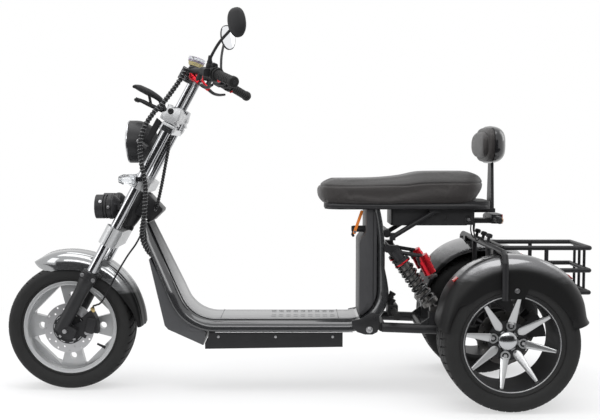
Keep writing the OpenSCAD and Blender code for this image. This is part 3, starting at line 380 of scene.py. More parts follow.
def pale_floor():
    """A matt floor that keeps the shadow near the wheels and turns to plain white far away."""
    shader = Shader("floor", Roughness=0.9, Specular_IOR_Level=0.1)
    shader.surface.inputs["Base Color"].default_value = rgb(0.93, 0.93, 0.935)
    far = shader.node("VectorMath", {"operation": "LENGTH"}, {0: shader.place()}, output=1)
    fade = shader.node("MapRange", {"interpolation_type": "SMOOTHSTEP"},
                       {"Value": far, "From Min": 0.9, "From Max": 2.2, "To Min": 0.55, "To Max": 1.0})
    path = shader.node("LightPath", output=0)
    gloss = Value(shader, path.socket.node.outputs["Is Glossy Ray"])
    clear = Value(shader, path.socket.node.outputs["Is Transmission Ray"])
    seen = (path + gloss + clear).least(1.0)
    white = shader.node("Emission", None, {"Color": rgb(1, 1, 1), "Strength": 1.0})
    mixed = shader.node("MixShader", None, {0: fade * seen, 1: Value(shader, shader.surface.outputs[0]),
                                            2: white})
    output = [n for n in shader.tree.nodes if n.type == "OUTPUT_MATERIAL"][0]
    shader.tree.links.new(mixed.socket, output.inputs[0])
    half = FLOOR_HALF
    return flat_board("floor", [(-half, -half, 0), (half, -half, 0), (half, half, 0), (-half, half, 0)],
                      shader.material)


def dark_flag():
    """A dark board behind the camera that only gloss sees, to give metal its edges."""
    shader = Shader("flag", Roughness=0.9, Specular_IOR_Level=0.0)
    shader.surface.inputs["Base Color"].default_value = rgb(0.03, 0.03, 0.032)
    upright = [(-7, 6.5, 0.01), (7, 6.5, 0.01), (7, 6.5, 2.6), (-7, 6.5, 2.6)]
    ground = [(-7, 1.1, 0.01), (7, 1.1, 0.01), (7, 6.5, 0.01), (-7, 6.5, 0.01)]
    for name, corners in (("flag", upright), ("flag_floor", ground)):
        board = flat_board(name, corners, shader.material)
        board.visible_camera = False
        board.visible_diffuse = False
        board.visible_transmission = False
        board.visible_shadow = False


def studio_world():
    """White to the camera, to gloss and through glass; soft grey light for everything else."""
    world = bpy.data.worlds.new("studio")
    bpy.context.scene.world = world
    world.use_nodes = True
    tree = world.node_tree
    tree.nodes.clear()
    path = tree.nodes.new("ShaderNodeLightPath")
    last = None
    for kind in ("Is Camera Ray", "Is Glossy Ray", "Is Transmission Ray"):
        seen = tree.nodes.new("ShaderNodeMath")
        seen.operation = "MAXIMUM"
        tree.links.new(path.outputs[kind], seen.inputs[0])
        if last:
            tree.links.new(last.outputs[0], seen.inputs[1])
        last = seen
    light = tree.nodes.new("ShaderNodeBackground")
    light.inputs["Color"].default_value = rgb(0.80, 0.82, 0.85)
    light.inputs["Strength"].default_value = 0.55
    white = tree.nodes.new("ShaderNodeBackground")
    white.inputs["Color"].default_value = rgb(1, 1, 1)
    mix = tree.nodes.new("ShaderNodeMixShader")
    tree.links.new(last.outputs[0], mix.inputs[0])
    tree.links.new(light.outputs[0], mix.inputs[1])
    tree.links.new(white.outputs[0], mix.inputs[2])
    output = tree.nodes.new("ShaderNodeOutputWorld")
    tree.links.new(mix.outputs[0], output.inputs[0])


def soft_lamp(name, place, target, size, watts):
    """A rectangular lamp that faces a target."""
    lamp = bpy.data.lights.new(name, "AREA")
    lamp.shape = "RECTANGLE"
    lamp.size, lamp.size_y = size
    lamp.energy = watts
    lamp_object = bpy.data.objects.new(name, lamp)
    bpy.context.scene.collection.objects.link(lamp_object)
    heading = np.array(target) - np.array(place)
    lamp_object.location = place
    yaw = math.atan2(heading[1], heading[0])
    tilt = math.acos(-heading[2] / np.linalg.norm(heading))
    lamp_object.rotation_euler = (tilt, 0, yaw - math.pi / 2)


pale_floor()
dark_flag()
studio_world()
soft_lamp("overhead", (0.2, 0.4, 3.4), (0, 0, 0.3), (4.5, 2.2), 75)
soft_lamp("side_strip", (0.3, 3.8, 2.3), (0, 0, 0.5), (4.0, 0.7), 34)
soft_lamp("front_fill", (3.4, 1.6, 1.8), (0.4, 0, 0.6), (1.4, 2.0), 20)
soft_lamp("rear_fill", (-3.2, -1.2, 2.0), (-0.4, 0, 0.6), (1.4, 2.0), 16)
bpy.context.scene.view_settings.view_transform = "Standard"
print("lamps:", 4)

# %% [markdown]
# ## A kit for surfaces
# A skin could be sculpted, cut from a block, or written as a function of two parameters. The last is exact
# and easy to change, so every new piece here is a grid of points: `Piece` gathers such grids into one mesh,
# closes their seams and turns the faces outward.

# %% A kit for surfaces
class Piece:
    """Gathers grids of points into one mesh with one or more finishes."""

    def __init__(self, name, body, *finishes):
        self.name = name
        self.body = body
        self.finishes = finishes
        self.points = []
        self.faces = []
        self.slots = []
        self.count = 0

    def add(self, points, wrap_u=False, wrap_v=True, caps=True, finish=0):
        """Joins neighbours of a grid (u, v) by quads. wrap closes a direction; caps fill the ends of u."""
        points = np.asarray(points, float)
        rows, columns = points.shape[:2]
        index = np.arange(rows * columns).reshape(rows, columns) + self.count
        if wrap_v:
            index = np.hstack([index, index[:, :1]])
        if wrap_u:
            index = np.vstack([index, index[:1]])
        quads = np.stack([index[:-1, :-1], index[1:, :-1], index[1:, 1:], index[:-1, 1:]], -1).reshape(-1, 4)
        faces = quads.tolist()
        if caps and wrap_v and not wrap_u:
            faces.append(index[0, :-1].tolist())
            faces.append(index[-1, -2::-1].tolist())
        self.points.append(points.reshape(-1, 3))
        self.faces += faces
        self.slots += [finish] * len(faces)
        self.count += rows * columns
        return self

    def pair(self, points, **how):
        """Adds a grid and its mirror image across the middle plane."""
        self.add(points, **how)
        return self.add(np.asarray(points, float) * (1, -1, 1), **how)

    def make(self, *replaced, sharp=35.0):
        """Makes the object, which rides on its body and stands for the replaced nodes."""
        mesh = bpy.data.meshes.new(self.name)
        mesh.from_pydata(np.vstack(self.points).tolist(), [], self.faces)
        for finish in self.finishes:
            mesh.materials.append(finish)
        mesh.polygons.foreach_set("material_index", self.slots)
        shape = bmesh.new()
        shape.from_mesh(mesh)
        bmesh.ops.remove_doubles(shape, verts=shape.verts, dist=2e-6)
        bmesh.ops.recalc_face_normals(shape, faces=shape.faces)
        shape.to_mesh(mesh)
        shape.free()
        mesh.polygons.foreach_set("use_smooth", [True] * len(mesh.polygons))
        mesh.set_sharp_from_angle(angle=math.radians(sharp))
        made = bpy.data.objects.new(self.name, mesh)
        bpy.context.scene.collection.objects.link(made)
        if self.body:
            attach(made, self.body)
        if replaced:
            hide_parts(*replaced)
        print(self.name, len(mesh.polygons), "faces")
        return made


SIDE_VIEW = ((1, 0, 0), (0, 0, 1))


def unit(vector):
    return np.asarray(vector, float) / np.linalg.norm(vector)


def full_turn(steps):
    """Even angles round a circle, without the last, which is the first again."""
    return np.linspace(0, 2 * np.pi, steps, endpoint=False)


def signed_power(value, exponent):
    """The size of a value to a power, with its sign kept: it squares a circle's cosine and sine."""
    return np.sign(value) * np.abs(value) ** exponent


def squared_rings(x, half_y, half_z, middle_z, powers, steps):
    """Superellipse rings along X: half widths times the signed powers of cosine and sine."""
    angle = full_turn(steps)
    y = half_y[:, None] * signed_power(np.cos(angle), powers[0])[None, :]
    z = half_z[:, None] * signed_power(np.sin(angle), powers[1])[None, :]
    return np.stack([np.broadcast_to(x[:, None], y.shape), y, z + middle_z], -1)


def smooth_path(points, steps):
    """A Catmull-Rom curve through the points: a cubic between each two, with shared slopes."""
    p = np.asarray(points, float)
    ends = np.vstack([2 * p[0] - p[1], p, 2 * p[-1] - p[-2]])
    t = np.linspace(0, 1, steps, endpoint=False)[None, :, None]
    a, b, c, d = (ends[i:len(p) - 1 + i][:, None, :] for i in range(4))
    curve = 0.5 * (2 * b + (c - a) * t + (2 * a - 5 * b + 4 * c - d) * t**2 + (3 * b - a - 3 * c + d) * t**3)
    return np.vstack([curve.reshape(-1, p.shape[1]), p[-1:]])


def across(axis):
    """Two unit vectors square to an axis."""
    axis = unit(axis)
    helper = np.array([0, 0, 1.0]) if abs(axis[2]) < 0.9 else np.array([1.0, 0, 0])
    side = unit(np.cross(helper, axis))
    return side, np.cross(axis, side)


def tube(path, radius, sides=14):
    """Rings round a path: radius times (cos a, sin a) in a frame that is carried along without twist."""
    path = np.asarray(path, float)
    along = np.gradient(path, axis=0)
    along /= np.linalg.norm(along, axis=1)[:, None]
    side = np.empty_like(path)
    side[0] = across(along[0])[0]
    for i in range(1, len(path)):
        side[i] = unit(side[i - 1] - along[i] * np.dot(side[i - 1], along[i]))
    up = np.cross(along, side)
    angle = np.linspace(0, 2 * np.pi, sides, endpoint=False)
    ring = np.cos(angle)[None, :, None] * side[:, None, :] + np.sin(angle)[None, :, None] * up[:, None, :]
    spread = (len(path),) if np.ndim(radius) < 2 else np.shape(radius)
    radius = np.broadcast_to(np.asarray(radius, float), spread)
    return path[:, None, :] + (radius[:, None] if radius.ndim == 1 else radius)[..., None] * ring


def lathe(profile, centre, axis=(0, 1, 0), sides=64):
    """Turns (radius, along) pairs about an axis through the centre."""
    profile = np.asarray(profile, float)
    side, up = across(axis)
    angle = np.linspace(0, 2 * np.pi, sides, endpoint=False)[:, None]
    spoke = np.cos(angle) * side + np.sin(angle) * up
    return np.asarray(centre) + profile[None, :, :1] * spoke[:, None, :] + profile[None, :, 1:] * unit(axis)


def turned(piece, profile, centre, axis=(0, 1, 0), sides=48, finish=0, loop=False):
    """Adds a turned solid. A loop is a closed profile; any other begins and ends on the axis."""
    piece.add(lathe(profile, centre, axis, sides), wrap_u=True, wrap_v=loop, finish=finish)


def plate(outline, at, u, v, depth, bevel=0.001):
    """Extrudes an outline of (u, v) pairs by the depth along u x v and rolls its edges over by the bevel."""
    flat = np.asarray(outline, float)
    edge = np.roll(flat, -1, 0) - np.roll(flat, 1, 0)
    normal = np.stack([edge[:, 1], -edge[:, 0]], 1) / np.linalg.norm(edge, axis=1)[:, None]
    u, v = unit(u), unit(v)
    w = np.cross(u, v)
    rings = [(-bevel, 0), (-bevel * 0.3, bevel * 0.3), (0, bevel), (0, depth - bevel),
             (-bevel * 0.3, depth - bevel * 0.3), (-bevel, depth)]
    stack = []
    for grow, height in rings:
        q = flat + grow * normal
        stack.append(np.asarray(at) + q[:, :1] * u + q[:, 1:] * v + height * w)
    return np.array(stack)


def rounded(width, height, radius, steps=6):
    """Outline of a rectangle with round corners, centred."""
    angle = np.linspace(0, np.pi / 2, steps)
    corner = np.stack([np.cos(angle), np.sin(angle)], 1) * radius
    turns = [((1, 1), 0), ((-1, 1), 1), ((-1, -1), 2), ((1, -1), 3)]
    parts = []
    for (sx, sy), quarter in turns:
        c, s = math.cos(quarter * math.pi / 2), math.sin(quarter * math.pi / 2)
        parts.append(corner @ np.array([[c, s], [-s, c]]) + (sx * (width / 2 - radius),
                                                             sy * (height / 2 - radius)))
    return np.vstack(parts)


def bolt(piece, at, axis, size, finish=0):
    """A socket bolt on a washer: a turned head with a hollow in its end."""
    s = size
    profile = [(0, -0.2 * s), (0.95 * s, -0.2 * s), (0.95 * s, 0.06 * s), (0.72 * s, 0.08 * s),
               (0.72 * s, 0.5 * s), (0.62 * s, 0.62 * s), (0.36 * s, 0.62 * s), (0.34 * s, 0.3 * s),
               (0, 0.28 * s)]
    turned(piece, profile, at, axis, 16, finish)


RAKE = math.radians(28.5)
FRONT_AXLE = np.array([0.8, 0, 0.225])
REAR_X = -0.7
FORK_UP = np.array([-math.sin(RAKE), 0, math.cos(RAKE)])
FORK_FORE = np.array([math.cos(RAKE), 0, math.sin(RAKE)])


def on_fork(x, y, s):
    """A point of the fork's own frame: x ahead of the steering axis, y across, s up the fork."""
    return FRONT_AXLE + x * FORK_FORE + np.array([0, y, 0]) + s * FORK_UP


print("kit ready")

# %% [markdown]
# ## Tyres
# A tyre is a turned section with a tread pressed into it. Cutting grooves with solids would leave ragged
# edges, so the grid itself follows the tread: its columns run along the slanted grooves and its rows along
# the ring grooves, and the points between the groove walls sink.

# %% Tyres
def tyre(name, centre, half_section, pitches, slant, lateral, ring_grooves, body, node):
    """Turns a section about Y. Columns in a pitch and rows at ring grooves sink by the tread depth."""
    half = smooth_path(half_section, 7) / 1000
    section = np.vstack([half, half[-2::-1] * (1, -1)])
    arc = np.concatenate([[0], np.cumsum(np.linalg.norm(np.diff(section, axis=0), axis=1))])
    crown = section[:, 0] > 0.205
    edges = np.array([y + d for y in ring_grooves for d in (-0.0042, -0.0034, 0.0034,
                                                            0.0042)] + list(lateral))
    edges = np.concatenate([edges, -np.array(lateral)])
    rows = np.sort(np.concatenate([arc, np.interp(-edges, -section[crown, 1], arc[crown])]))
    rows = rows[np.concatenate([[True], np.diff(rows) > 1e-5])]
    radius = np.interp(rows, arc, section[:, 0])
    y = np.interp(rows, arc, section[:, 1])
    on_crown = (rows > arc[crown][0]) & (rows < arc[crown][-1])
    sunk_row = np.zeros(len(rows))
    for groove in ring_grooves:
        sunk_row = np.maximum(sunk_row, on_crown * (np.abs(y - groove) < 0.0037))
    inside = on_crown * (np.abs(y) > lateral[0] - 1e-5) * (np.abs(y) < lateral[1] + 1e-5)
    offsets = np.array([0.0, 0.025, 0.15, 0.175, 0.38, 0.60, 0.80])
    sunk_column = np.array([0, 1, 1, 0, 0, 0, 0])
    turn = ((np.arange(pitches)[:, None] + offsets) / pitches).ravel() * 2 * np.pi
    sunk_column = np.tile(sunk_column, pitches)
    lean = slant * np.clip(np.abs(y), 0, lateral[1]) * 2 * np.pi / pitches / lateral[1]
    half_step = np.where(y < 0, np.pi / pitches, 0.0)
    angle = turn[:, None] + (lean + half_step * on_crown)[None, :]
    depth = 0.0055 * np.maximum(sunk_row[None, :], sunk_column[:, None] * inside[None, :])
    r = radius[None, :] - depth
    points = np.stack([r * np.cos(angle), np.broadcast_to(y, r.shape), r * np.sin(angle)], -1) + centre
    piece = Piece(name, body, TYRE)
    piece.add(points, wrap_u=True)
    return piece.make(node, sharp=28)


FRONT_SECTION = [(160.3, 40), (161, 47), (166, 50), (169, 52.5), (172, 52), (174, 56), (184, 62), (196, 65),
                 (206, 63.5), (214.5, 57), (220, 45), (223.5, 26), (225, 0)]
REAR_SECTION = [(160.3, 74), (161, 79), (166, 82), (169, 85), (172, 84.5), (174, 89), (184, 95), (196, 97.4),
                (207, 96), (215.5, 91), (220.5, 82), (223.8, 55), (225, 0)]
tyre("tyre_front", FRONT_AXLE, FRONT_SECTION, 46, 0.9, (0.014, 0.0585), (-0.010, 0.010), "front_wheel",
     "front_tyre")
for side, label in ((1, "left"), (-1, "right")):
    middle = np.array([REAR_X, side * 0.255, 0.225])
    tyre("tyre_rear_" + label, middle, REAR_SECTION, 52, 0.7, (0.030, 0.0885), (-0.055, -0.02, 0.02, 0.055),
         "rear_wheel_" + label, "rear_tyre_" + label)

# %% [markdown]
# ## Machined wheel faces
# The rear rims are painted black and then turned on a lathe, so only the outermost faces are bright. Paint
# by face would need the spokes cut into strips; a thin bright blade over each dished spoke is simpler and
# gives the edge its small chamfer. Rings round the lug holes, a plated cap and a line on the flange follow.

# %% Machined wheel faces
REAR_Y = 0.255
SPOKE_TURN = 34.5


def spoke_blade(side, degrees):
    """A strip along the spoke's rising face: its half-width falls with radius, round at the hub."""
    share = np.linspace(0, 1, 26)[:, None]
    radius = 0.0405 + 0.1110 * share
    lift = 0.0160 + np.clip((radius - 0.0456) / 0.1094, 0, 1) * 0.0428
    taper = 0.0160 - 0.0104 * (radius - 0.0405) / 0.1110
    half = taper * np.sqrt(1 - np.clip((0.062 - radius) / 0.0220, 0, 1) ** 2)
    section = np.array([(-1, -0.0008), (-1, 0.0003), (-0.86, 0.0011), (-0.3, 0.0013), (0.3, 0.0013),
                        (0.86, 0.0011), (1, 0.0003), (1, -0.0008)])
    across_blade = half * section[:, 0]
    out = lift + section[:, 1]
    turn = math.radians(degrees)
    x = radius * math.cos(turn) - across_blade * math.sin(turn)
    z = radius * math.sin(turn) + across_blade * math.cos(turn)
    return np.stack([REAR_X + x, side * (REAR_Y + out), 0.225 + z], -1)


def machined_face(side, name):
    """Blades, lug rings with nuts, the cap and the flange line of one rear wheel."""
    face = Piece("machined_" + name, "rear_wheel_" + name, MACHINED, CHROME, CAST_BLACK, STEEL)
    centre = np.array([REAR_X, side * REAR_Y, 0.225])
    axis = (0, side, 0)
    for k in range(8):
        face.add(spoke_blade(side, -side * (SPOKE_TURN + 45 * k)))
    for k in range(4):
        turn = -side * math.radians(80 + 90 * k)
        at = centre + 0.0508 * np.array([math.cos(turn), 0, math.sin(turn)])
        turned(face, [(0.0112, 0.0205), (0.0168, 0.0205), (0.0168, 0.0232), (0.0158, 0.0242),
                      (0.0122, 0.0242), (0.0112, 0.0232)], at, axis, 36, 0, loop=True)
        turned(face, [(0, 0.0150), (0.0113, 0.0150), (0.0113, 0.0212), (0, 0.0212)], at, axis, 28, 2)
        turned(face, [(0, 0.019), (0.0072, 0.019), (0.0072, 0.0232), (0.0060, 0.0246), (0, 0.0246)], at,
               axis, 6, 3)
    turned(face, [(0, 0.0330), (0.010, 0.0325), (0.020, 0.0303), (0.0285, 0.0272), (0.0340, 0.0236),
                  (0.0366, 0.0165), (0.0366, 0.0150), (0, 0.0150)], centre, axis, 48, 1)
    line = full_turn(12)
    turned(face, np.stack([0.1570 + 0.0018 * np.cos(line), 0.0798 + 0.0011 * np.sin(line)], 1), centre,
           axis, 96, 0, loop=True)
    for k in range(5):
        turn = math.radians(72 * k + 20)
        screw_at = centre + 0.062 * np.array([math.cos(turn), 0, math.sin(turn)])
        bolt(face, screw_at - np.array([0, side * 0.0355, 0]),
             (0, -side, 0), 0.006, 3)
    stem = centre + np.array([0.118, 0, 0.082])
    inward = np.array([-0.86, side * 0.35, -0.5])
    face.add(tube([stem + side * np.array([0, 0.03, 0]), stem + side * np.array([0, 0.03,
                                                                                 0]) + 0.020 * inward,
                   stem + side * np.array([0, 0.03, 0]) + 0.034 * inward], [0.0055, 0.0045, 0.0035], 12),
             finish=2)
    return face.make(sharp=40)


for side, name in ((1, "left"), (-1, "right")):
    machined_face(side, name)

# %% [markdown]
# The front wheel is cast in silver. A black hub cover with slots sits in the middle of its drilled disc, a
# ring of screws holds the disc, and two turned steps edge the rim. Most of it is turned about the axle, which
# needs only radii and depths.

# %% Front wheel trim
def front_trim():
    """Hub cover, screws, rim steps and valve of the front wheel."""
    trim = Piece("front_wheel_trim", "front_wheel", CAST_BLACK, STEEL, WHEEL_SILVER)
    turned(trim, [(0.0195, 0.0612), (0.0565, 0.0612), (0.0565, 0.0630), (0.0545, 0.0650), (0.0480, 0.0652),
                  (0.0470, 0.0640), (0.0400, 0.0640), (0.0385, 0.0668), (0.0240, 0.0685), (0.0195, 0.0680)],
           FRONT_AXLE, (0, 1, 0), 72, 0, loop=True)
    for k in range(10):
        turn = math.radians(36 * k + 8)
        arc = turn + np.radians(np.linspace(-9, 9, 7))
        path = np.stack([0.0515 * np.cos(arc), np.full(7, 0.0652), 0.0515 * np.sin(arc)], 1) + FRONT_AXLE
        trim.add(tube(path, 0.0013, 8), finish=2)
    for k in range(5):
        turn = math.radians(72 * k + 30)
        at = FRONT_AXLE + np.array([0.0435 * math.cos(turn), 0.0642, 0.0435 * math.sin(turn)])
        bolt(trim, at, (0, 1, 0), 0.0055, 1)
    round_line = full_turn(10)
    for radius, out, thick in ((0.1640, 0.0476, 0.0030), (0.1530, 0.0478, 0.0022)):
        for side in (1, -1):
            ring = np.stack([radius + thick * np.cos(round_line), out + thick * 0.6 * np.sin(round_line)], 1)
            turned(trim, ring, FRONT_AXLE, (0, side, 0), 96, 2, loop=True)
    turn = math.radians(213)
    spoke = np.array([math.cos(turn), 0, math.sin(turn)])
    base = FRONT_AXLE + 0.142 * spoke + np.array([0, 0.030, 0])
    trim.add(tube([base, base - 0.012 * spoke + (0, 0.004, 0), base - 0.030 * spoke + (0, 0.012, 0)],
                  [0.0055, 0.0045, 0.0036], 12), finish=0)
    return trim.make(sharp=40)


front_trim()

# %% [markdown]
# ## Ribbon body
# The body is one pressed ribbon that falls from the steering head, turns into the deck and climbs to the
# seat. It is a section swept along a line of two bends, so the function takes the distance along that line
# and the angle round the section. The neck narrows towards its top, which the section's width follows.

# %% Ribbon body
NECK_LEAN = math.radians(24.7)
BEND_FRONT = np.array([0.281, 0.387])
BEND_REAR = np.array([-0.180, 0.366])


def ribbon_line(gap, neck, riser, deck_stop=None):
    """Stations of the ribbon's inner face, moved outward by the gap: place, outward direction, neck share."""
    out_neck = np.array([math.cos(NECK_LEAN), -math.sin(NECK_LEAN)])
    up_neck = np.array([math.sin(NECK_LEAN), math.cos(NECK_LEAN)])
    share = np.linspace(1, 0, 40, endpoint=False)
    places = [BEND_FRONT + (0.125 + gap) * out_neck + s * neck * up_neck for s in share]
    outs = [out_neck] * len(share)
    shares = list(share)
    for centre, radius, start, end in ((BEND_FRONT, 0.125, -NECK_LEAN, -np.pi / 2),
                                       (BEND_REAR, 0.104, -np.pi / 2, -np.pi)):
        for angle in np.linspace(start, end, 40):
            out = np.array([math.cos(angle), math.sin(angle)])
            place = centre + (radius + gap) * out
            if deck_stop is not None and centre is BEND_REAR and place[0] < deck_stop:
                continue
            places.append(place)
            outs.append(out)
            shares.append(0.0)
    if riser:
        for s in np.linspace(0.02, riser, 20):
            places.append(BEND_REAR + np.array([-(0.104 + gap), s]))
            outs.append(np.array([-1.0, 0]))
            shares.append(0.0)
    return np.array(places), np.array(outs), np.array(shares)


def sweep_section(places, outs, section, half_width, scale=1.0):
    """Carries (thickness, width) pairs along the stations; the width is measured from each half width."""
    scale = np.broadcast_to(scale, len(places))
    thick = section[:, 0]
    inset = section[:, 1]
    y = np.sign(inset)[None, :] * (half_width[:, None] - np.abs(inset)[None, :] + 1e-9)
    place = places[:, None, :] + (scale[:, None] * thick[None, :])[..., None] * outs[:, None, :]
    return np.stack([place[..., 0], y, place[..., 1]], -1)


def edge_section(thickness):
    """Each edge: a quarter of a wide ellipse from the inner face, a pressed line, then a tight round."""
    wide = np.linspace(0, np.pi / 2, 20)
    tight = np.linspace(0, np.pi / 2, 10)
    turn = 0.74 * thickness
    inner = np.stack([turn * (1 - np.cos(wide)), 0.001 + 0.036 * (1 - np.sin(wide))], 1)
    line = np.array([(turn + 0.0004, 0.0021), (turn + 0.0013, 0.0021), (turn + 0.0017, 0.0009)])
    low = thickness - turn - 0.002
    outer = np.stack([turn + 0.002 + low * np.sin(tight), 0.0008 + 1.4 * low * (1 - np.cos(tight))], 1)
    near = np.vstack([[(0, 0.047)], inner, line, outer, [(thickness, 0.047)]])
    return np.vstack([near, near[::-1] * (1, -1)])


def ribbon_taper(places, outs, share):
    """Thins the riser and the top of the neck, and leans the riser's top forward."""
    riser = outs[:, 0] < -0.3
    climb = np.where(riser, np.clip((places[:, 1] - 0.30) / 0.14, 0, 1), 0)
    lean = np.where(riser, np.clip((places[:, 1] - 0.50) / 0.148, 0, 1), 0)
    places = places + np.stack([0.018 * lean**2, np.zeros(len(lean))], 1)
    return places, 1 - 0.40 * climb**2 - 0.6 * np.clip((share - 0.80) / 0.20, 0, 1)


places, outs, share = ribbon_line(0.0, 0.302, 0.282)
places, scale = ribbon_taper(places, outs, share)
narrow = np.clip((share * 0.302 / 0.282 - 0.12) / 0.88, 0, 1)
ribbon = Piece("body_ribbon", "frame", BODY_GREY)
ribbon.add(sweep_section(places, outs, edge_section(0.044), 0.110 - 0.051 * narrow, scale))
ribbon.make("body_pan", sharp=40)

# %% [markdown]
# A bright cover lies on the inner face of the ribbon. It follows the same line a little inside it, and its
# section has edges that run out to nothing and pressed lines, as a foot plate has. A seam crosses the deck
# where the neck's cover meets the floor's, and short raised bars give the feet grip.

# %% Deck cover
def cover_section():
    """Thickness against distance from the edge: a feathered rim and a flat floor with three pressed lines."""
    upper = [(0.0006, 0.0002), (-0.0006, 0.0003), (-0.0022, 0.0025), (-0.0030, 0.007), (-0.0034, 0.012)]
    for line in (0.016, 0.024, 0.040):
        upper += [(-0.0036, line - 0.0016), (-0.0022, line - 0.0008), (-0.0022, line + 0.0008),
                  (-0.0036, line + 0.0016)]
    upper.append((-0.0040, 0.048))
    upper = np.array(upper)
    return np.vstack([upper, upper[::-1] * (1, -1)])


places, outs, share = ribbon_line(-0.0004, 0.290, 0, deck_stop=-0.215)
narrow = np.clip((share * 0.290 / 0.282 - 0.12) / 0.88, 0, 1)
# Its silver darkens towards the top of the neck: painted shade.
cover = Piece("deck_cover", "frame", DECK_SILVER, SEAM)
cover.add(sweep_section(places, outs, cover_section(), 0.086 - 0.033 * narrow))
for x in (0.262, -0.150):
    cover.add(tube([(x, -0.083, 0.2656), (x, 0.083, 0.2656)], 0.0011, 8), finish=1)
for row in range(9):
    x = -0.130 + 0.026 * row
    for y in (-0.055, -0.030, 0.030, 0.055):
        cover.add(plate(rounded(0.016, 0.005, 0.0022, 4), (x, y, 0.2650), (1, 0, 0), (0, 1, 0), 0.0026,
                        0.0006))
cover.make("body_cover", sharp=30)

# %% [markdown]
# ## Cushions
# A seat looks soft because its cover is stretched over foam. A modelled curve could imitate that, but a
# cloth simulation gives the swell and the slight sag between the seams by itself: each cushion starts a
# little small, is remeshed evenly and is blown up under pressure while its base stays pinned to the pan.

# %% Cushions
CUSHION_GRID = 0.0055
CLOTH_FRAMES = 20


def stuffed(shape, pinned, reach, pressure):
    """Remeshes a closed shape, blows it up as cloth and keeps each point within reach of its start."""
    remesh = shape.modifiers.new("even", "REMESH")
    remesh.mode = "VOXEL"
    remesh.voxel_size = CUSHION_GRID
    bpy.context.view_layer.objects.active = shape
    bpy.ops.object.modifier_apply(modifier=remesh.name)
    mesh = shape.data
    start = np.empty(len(mesh.vertices) * 3)
    mesh.vertices.foreach_get("co", start)
    start = start.reshape(-1, 3)
    end = start
    group = shape.vertex_groups.new(name="held")
    group.add(np.flatnonzero(pinned(start)).tolist(), 1.0, "REPLACE")
    cloth = shape.modifiers.new("cloth", "CLOTH")
    cloth.settings.vertex_group_mass = "held"
    cloth.settings.quality = 5
    cloth.settings.mass = 0.25
    cloth.settings.tension_stiffness = 30
    cloth.settings.compression_stiffness = 30
    cloth.settings.shear_stiffness = 15
    cloth.settings.bending_stiffness = 1.5
    cloth.settings.use_pressure = True
    cloth.settings.uniform_pressure_force = pressure
    cloth.settings.effector_weights.gravity = 0
    cloth.point_cache.frame_end = CLOTH_FRAMES
    for frame_number in range(1, CLOTH_FRAMES + 1):
        bpy.context.scene.frame_set(frame_number)
    blown = shape.evaluated_get(bpy.context.evaluated_depsgraph_get()).to_mesh()
    end = np.empty(len(blown.vertices) * 3)
    blown.vertices.foreach_get("co", end)
    end = end.reshape(-1, 3)
    shape.modifiers.remove(cloth)
    shape.vertex_groups.clear()
    bpy.context.scene.frame_set(1)
    move = end - start
    length = np.linalg.norm(move, axis=1)[:, None]
    move *= np.minimum(1, reach / np.maximum(length, 1e-9))
    mesh.vertices.foreach_set("co", (start + move).ravel())
    mesh.update()
    print(shape.name, "moved up to", round(float(np.linalg.norm(move, axis=1).max()) * 1000, 1), "mm")
    return start + move


def crease(shape, depth_at, depth):
    """Presses a stitched channel in: each point moves in along its normal by the channel's depth."""
    mesh = shape.data
    points = np.empty(len(mesh.vertices) * 3)
    normals = np.empty(len(mesh.vertices) * 3)
    mesh.vertices.foreach_get("co", points)
    mesh.vertex_normals.foreach_get("vector", normals)
    points = points.reshape(-1, 3)
    points -= normals.reshape(-1, 3) * depth * depth_at(points)[:, None]
    mesh.vertices.foreach_set("co", points.ravel())
    mesh.update()


def soften(shape):
    """One subdivision, and smooth shading."""
    smooth = shape.modifiers.new("smooth", "SUBSURF")
    smooth.levels = smooth.render_levels = 1
    bpy.context.view_layer.objects.active = shape
    bpy.ops.object.modifier_apply(modifier=smooth.name)
    shape.data.polygons.foreach_set("use_smooth", [True] * len(shape.data.polygons))


SEAT_FRONT = -0.074
SEAT_LENGTH = 0.590
SEAT_FLOOR = 0.6595
SEAT_RISE = [(0.0, 0.089), (0.20, 0.089), (0.36, 0.091), (0.50, 0.099), (0.60, 0.111), (0.70, 0.114),
             (1.0, 0.114)]


def seat_top(x):
    """Height of the seat's top along X: a low rider's part, a gentle rise and a higher passenger's part."""
    along = (SEAT_FRONT - np.asarray(x)) / SEAT_LENGTH
    rise = smooth_path(SEAT_RISE, 8)
    return SEAT_FLOOR + np.interp(along, rise[:, 0], rise[:, 1])


def seat_shape():
    """Superellipse rings: half-width from the rounded plan, height from the side view, both ends bulged."""
    along = 0.5 - 0.5 * np.cos(np.linspace(0.05, np.pi - 0.05, 110))
    x = SEAT_FRONT - 0.004 - (SEAT_LENGTH - 0.008) * along
    half = 0.134 * (1 - np.abs(2 * along - 1) ** 8) ** (1 / 2.4)
    nose = (1 - np.clip(1 - along / 0.11, 0, 1) ** 2.3) ** (1 / 2.3)
    stern = (1 - np.clip(1 - (1 - along) / 0.12, 0, 1) ** 2.6) ** (1 / 2.6)
    tall = (seat_top(x) - SEAT_FLOOR) / 2
    middle = SEAT_FLOOR + tall * (1 + 0.06 * (1 - nose))
    tall = tall * (0.12 + 0.88 * nose * stern)
    angle = full_turn(80)
    c, s = np.cos(angle), np.sin(angle)
    y = half[:, None] * signed_power(c, 0.40)[None, :]
    bulge = np.where(s > 0, np.abs(s) ** 0.62, -np.abs(s) ** 0.36)[None, :]
    z = middle[:, None] + tall[:, None] * bulge
    tuck = 0.030 * np.clip((along - 0.86) / 0.14, 0, 1)[:, None] * np.clip(-bulge, 0, 1)
    return np.stack([x[:, None] + tuck, y, z], -1)


def groove(distance, width):
    """One on a line and zero beyond the width, with a round bottom."""
    return np.exp(-(distance / width) ** 2)


seat_piece = Piece("seat_pad", "", SEAT_LEATHER, SEAT_LIT_TOP)
seat_piece.add(seat_shape())
seat = seat_piece.make()
stuffed(seat, lambda p: p[:, 2] < SEAT_FLOOR + 0.010, 0.005, 4.0)


